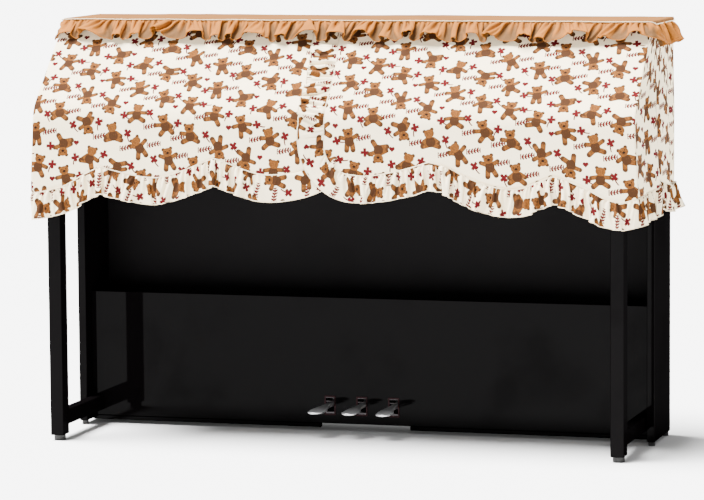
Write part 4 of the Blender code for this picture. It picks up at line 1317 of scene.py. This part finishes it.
def printed_cotton(name, strength, ground, thread_shade_and_patches):
    """Ivory cotton with the print, strong on its face and pale on its wrong side."""
    material, bench, shader = new_material(name, 0.88, Specular_IOR_Level=0.05)
    cloth = bench.value("ShaderNodeUVMap", uv_map="UVMap")
    weave = bench.group("plain weave", Vector=cloth, Pitch=0.0005, Crumple=0.8)
    patches = bench.between(bench.noise(cloth, 7.0, 3.0), 0.3, 0.7, 0.0, 0.35)
    share = weave["Shade"] * 0.5 + patches
    # The second colour is painted shade between the threads and random darker patches.
    plain = bench.blend(share, (*thread_shade_and_patches, 1.0), (*ground, 1.0))
    printed = bench.group("bear print", Vector=cloth, Ground=plain)["Colour"]
    colour = bench.blend(strength, plain, printed)
    gloss = weave["Shade"] * -0.06 + 0.91
    join_up(bench, shader, Base_Color=colour, Roughness=gloss, Height=weave["Height"], Depth=0.0012)
    return material


PRINT = printed_cotton("printed_cotton", 1.0, (0.92, 0.79, 0.55), (0.84, 0.71, 0.47))
WRONG_SIDE = printed_cotton("printed_cotton_inside", 0.30, (0.86, 0.73, 0.50), (0.78, 0.65, 0.43))


def panel(name, node, us, vs, place, flat):
    """A printed panel. flat(u, v) gives the place on the uncut cloth."""
    mesh = cloth_mesh(name, laid_out(us, vs, place), laid_out(us, vs, flat))
    return sewn_piece(mesh, PRINT, node, CLOTH, WRONG_SIDE)


def front_flat(along, row):
    return along, -row_below(row, seam_height(along))


ROWS = steps(84, ROWS_TOP, ROWS_END)
FRONT_LOW = 0.596  # the lowest point of its seam
FRONT_LONG = SLOPE + FOLD_Z - FRONT_LOW
left_columns = steps(154, -HALF_HEM, SEAM[-1][0])
front_left = panel("front_left", "front_panel_left", left_columns, ROWS, left_place, front_flat)
size = (HALF_HEM + SEAM[-1][0], FRONT_LONG)

right_columns = steps(16, 0.0, LAP_STEPS)
beyond = round((HALF_HEM - RIGHT_SEAM[0][0]) / COLUMN_WIDE)
right_columns += [LAP_STEPS + i for i in range(1, 1 + beyond)]
front_right = panel("front_right", "front_panel_right", right_columns, ROWS, right_place, right_flat)
size = (HALF_HEM - LAP_TOP, FRONT_LONG)

# ---------------------------------------------------------------- sides and back
# A printed panel hangs down each side, its front edge cut to the front's slope, and a plain
# straight one down the back. They hang loose of the boards in a few soft folds.

SIDE_START, SIDE_END = FRONT_FLAT + CORNER_ARC, 1.176
SIDE_LOW, BACK_LOW, BACK_LONG = 0.609, 0.62, 0.38


def side_half(y, z):
    """Distance of the side's face from the middle."""
    back = eased((y - FOLD_Y) / (COVER_BACK - FOLD_Y))
    rear = HALF_BACK if z < FOLD_Z else mix(HALF_BACK, HALF_TOP, (z - FOLD_Z) / SLOPE_FALL)
    return mix(half_width(z), rear, back)


def side_depth(along):
    """Y on the side at a length round the cover."""
    return FOLD_Y + CORNER + abs(along) - FRONT_FLAT - CORNER_ARC


def side_share(along):
    """A column's place from the side's front edge, 0, to its back edge, 1."""
    share = (along - SIDE_START) / (SIDE_END - SIDE_START)
    front, back = FOLD_Y + CLOTH + GAP, COVER_BACK - CLOTH - GAP
    inner = (side_depth(along) - front) / (back - front)
    return mix(mix(0.0, inner, eased(share * 6)), 1.0, eased(share * 6 - 5))


def side_loose(side, share, z):
    """How far the side's loose folds hang out from its flat place."""
    loose = 0.0080 * (1 - cos(2 * pi * (3 * share + 0.5 * z + 0.15 * side))) - 0.0020
    loose += 0.0030 * sin(2 * pi * (5 * share + 0.7 * z))
    loose *= eased((0.93 - z) / 0.16)
    fine = 0.0015 * (1 + unevenness((share * 0.45, z * 0.4), 0.030, 5.0 + side))
    loose += fine * eased((0.95 - z) / 0.05)
    return loose * eased(5 * share) * eased(5 * (1 - share))


def side_place(side, along, row):
    """A side: its front edge follows the front's slope, and its loose folds hang in between."""
    point, outward = front_section(row_below(row, seam_height(side * along)))
    z = min(point.z, COVER_TOP - CLOTH - GAP)
    front = point.y + (CLOTH + GAP) / abs(outward.y)
    share = side_share(along)
    y = mix(front, COVER_BACK - CLOTH - GAP, share)
    return side * (side_half(y, z) + side_loose(side, share, z)), y, z


for word, side in (("left", -1), ("right", 1)):
    columns = steps(100, SIDE_START, SIDE_END)
    made = panel(
        f"side_{word}",
        f"side_panel_{word}",
        [side * along for along in (columns if side > 0 else columns[::-1])],
        ROWS,
        lambda along, row: side_place(side, abs(along), row),
        lambda along, row: (along, side_place(side, abs(along), row)[2] - FOLD_Z),
    )
    size = (COVER_BACK - FOLD_Y, COVER_TOP - SIDE_LOW)
    0.88 * size[0] * size[1]


def back_place(u, v):
    """The back, which hangs plain in a few slow waves."""
    z = mix(COVER_TOP - CLOTH - GAP, BACK_LOW, v)
    wave = 0.0012 * (1 - cos(2 * pi * 4 * u)) * eased(2 * v)
    fine = 0.0008 * (1 + unevenness((u * 1.45, v * 0.2), 0.06, 11.0))
    wave += fine * eased(3 * v) * eased(12 * u) * eased(12 - 12 * u)
    return mix(1, -1, u) * side_half(COVER_BACK, z), COVER_BACK + wave, z


back = panel(
    "back",
    "back_panel",
    steps(240),
    steps(60),
    back_place,
    lambda u, v: (SIDE_END + 2 * HALF_BACK * u, -BACK_LONG * v),
)
size = (2 * HALF_BACK, COVER_TOP - BACK_LOW)

# ---------------------------------------------------------------- hem frills
# A printed strip, cut across the cloth and half as long again as its seam, is gathered along the
# scalloped edge of each half and round the corner to the back. The right one also runs down
# the edge of the lap, round its corner and on along the hem.

HEM_FRILL, HEM_PITCH, HEM_TUCK, HEM_FULL = 0.064, 0.042, 0.05, 1.45
HEM_ROLL, SEAM_ROLL, SEAM_RAISED = 0.0011, 0.0013, 0.0006
FLARE, FLARE_FROM = 0.020, 1.09  # how far the frill's back ends stand off, and where that starts
PATH_STEP = 0.004
HEM_FACES = faces_at(
    ((0, *SLOPE_TOP), OFF_SLOPE),
    ((0, FOLD_Y, 0), FRONT),
    ((-HALF_HEM, 0, FULL_WIDTH_Z), (-1, 0, 0)),
    ((HALF_HEM, 0, FULL_WIDTH_Z), (1, 0, 0)),
)


def on_cover(along, below, out):
    """A point that stands out from the cover's face, on the front, a rounded corner or a side."""
    if abs(along) <= FRONT_FLAT:
        return on_front(along, below, out)
    side = copysign(1.0, along)
    z = FOLD_Z - below
    past = abs(along) - FRONT_FLAT
    if past >= CORNER_ARC:
        y = side_depth(along)
        out += side_loose(side, side_share(abs(along)), z)
        return Vector((side * (side_half(y, z) + out), y, z))
    angle = past / CORNER
    x = (FRONT_FLAT + (CORNER + out) * sin(angle)) * half_width(z) / HALF_HEM
    return Vector((side * x, FOLD_Y + CORNER - (CORNER + out) * cos(angle), z))


def walk(line):
    """A seam's points a few millimetres apart, each with its length and the direction in which the
    frill hangs there, so that it fans round corners and closes up where scallops meet."""
    points = [line[0]]
    for a, b in zip(line, line[1:]):
        count = ceil(hypot(b[0] - a[0], b[1] - a[1]) / PATH_STEP)
        points += [(mix(a[0], b[0], t), mix(a[1], b[1], t)) for t in steps(count)[1:]]
    reach = 6
    path, length = [], 0.0
    for i, point in enumerate(points):
        before, after = points[max(0, i - reach)], points[min(len(points) - 1, i + reach)]
        angle = atan2(after[1] - before[1], after[0] - before[0])
        hang = angle * mix(0.4, 1.0, eased((abs(angle) - 0.8) / 0.7))
        if i:
            length += hypot(point[0] - points[i - 1][0], point[1] - points[i - 1][1])
        path.append((length, point[0], point[1], hang))
    return path


def hem_folds(total, first):
    """Soft folds of uneven width and height that fill the seam's length."""
    folds, used = [], 0.0
    while used < total:
        i = len(folds) + first
        wide = HEM_PITCH * (1 + 0.25 * sin(2.3 * i) + 0.15 * sin(5.1 * i + 1.0))
        out = 0.0086 + 0.0042 * sin(3.7 * i + 0.5)
        folds.append({"wide": wide, "out": out, "lean": 0.8 * sin(4.3 * i)})
        used += wide
    return folds


def hem_frill(name, node, line, first, covered):
    """A gathered strip along a seam. covered(along) is 1 where the other half laps over it."""
    path = walk(line)
    total = path[-1][0]
    lengths = [point[0] for point in path]
    points, outs, falls, hides, flares = [], [], [], [], []
    for _, along, below, hang in path:
        start = on_cover(along, below, 0.0)
        end = on_cover(along - sin(hang) * 0.002, below + cos(hang) * 0.002, 0.0)
        points.append(on_cover(along, below, -0.0040 * covered(along)))
        outs.append((on_cover(along, below, 0.001) - start).normalized())
        falls.append((end - start).normalized())
        shown = eased((SLOPE - TOP_FRILL + below) / 0.05)
        hides.append((1 - covered(along)) * shown)
        flares.append(FLARE * eased((abs(along) - FLARE_FROM) / 0.08))
    rail = seam_rail(name + "_rail", points, outs, falls)
    outs = np.array(outs)
    columns = fold_marks(hem_folds(total, first), 34, total, HEM_TUCK, lambda at: 0.0)
    fuller = HEM_FULL * total / columns[-1]["cloth_length"]
    cut, last = 0.0, columns[0]
    for marks in columns:
        shown = np.interp(marks["seam_at"], lengths, hides)
        flat = 1.02 * (marks["seam_at"] - last["seam_at"])
        cut += mix(flat, fuller * (marks["cloth_length"] - last["cloth_length"]), shown)
        last = dict(marks)
        marks["cloth_length"] = float(cut)
        marks["stand"] = mix(0.0002, marks["stand"], shown)
        marks["free"] = mix(0.08, 1.0, shown)
        marks["clear"] = float(np.interp(marks["seam_at"], lengths, flares)) + 0.0006 * shown
    ats = [marks["seam_at"] for marks in columns]
    outs_at = np.stack([np.interp(ats, lengths, outs[:, k]) for k in range(3)], 1)
    mesh = gathered(
        name,
        rail,
        columns,
        FRILL_ROWS,
        HEM_FRILL,
        crosswise=True,
        Start=2 * GAP,
        Clearance=0.0,
        Tuck=HEM_TUCK,
        Wander=0.012,
        Pucker_pitch=0.009,
        Pucker_height=0.0022,
        Pleat_pitch=0.022,
        Pleat_height=0.0042,
        Crumple=0.0016,
        Seed=float(first),
        Cloth=PRINT,
    )
    hung = settled(mesh, columns, FRILL_ROWS, HEM_FRILL, HEM_FACES, 0.0)
    edges = [cord(f"{name}_hem", hung[:, -1], CREAM, HEM_ROLL)]
    seam = hung[:, 0] + SEAM_RAISED * outs_at
    edges.append(cord(f"{name}_seam", seam, CREAM, SEAM_ROLL))
    strip = sewn_piece(mesh, PRINT, node, FRILL_CLOTH, WRONG_SIDE)


def under_lap(along):
    return lap_sink(along) / LAP_SINK


def fine_seam(rows):
    """The seam in short steps."""
    count = round((rows[-1][0] - rows[0][0]) / 0.006)
    return [(along, FOLD_Z - seam_height(along)) for along in steps(count, rows[0][0], rows[-1][0])]


hem_frill("hem_frill_left_half", "hem_frill_left", fine_seam(SEAM), 0, under_lap)

corner_z = RIGHT_SEAM[0][1] + LAP_ROUND
lap_belows = [row_below(row, corner_z) for row in ROWS]
lap_line = [(lap_edge(below), below) for below in lap_belows]
lap_line += [(along, FOLD_Z - z) for along, z in map(lap_corner, steps(12)[1:])]
lap_line += fine_seam(RIGHT_SEAM)[1:]
hem_frill("hem_frill_right_half", "hem_frill_right", lap_line, 7, lambda along: 0.0)
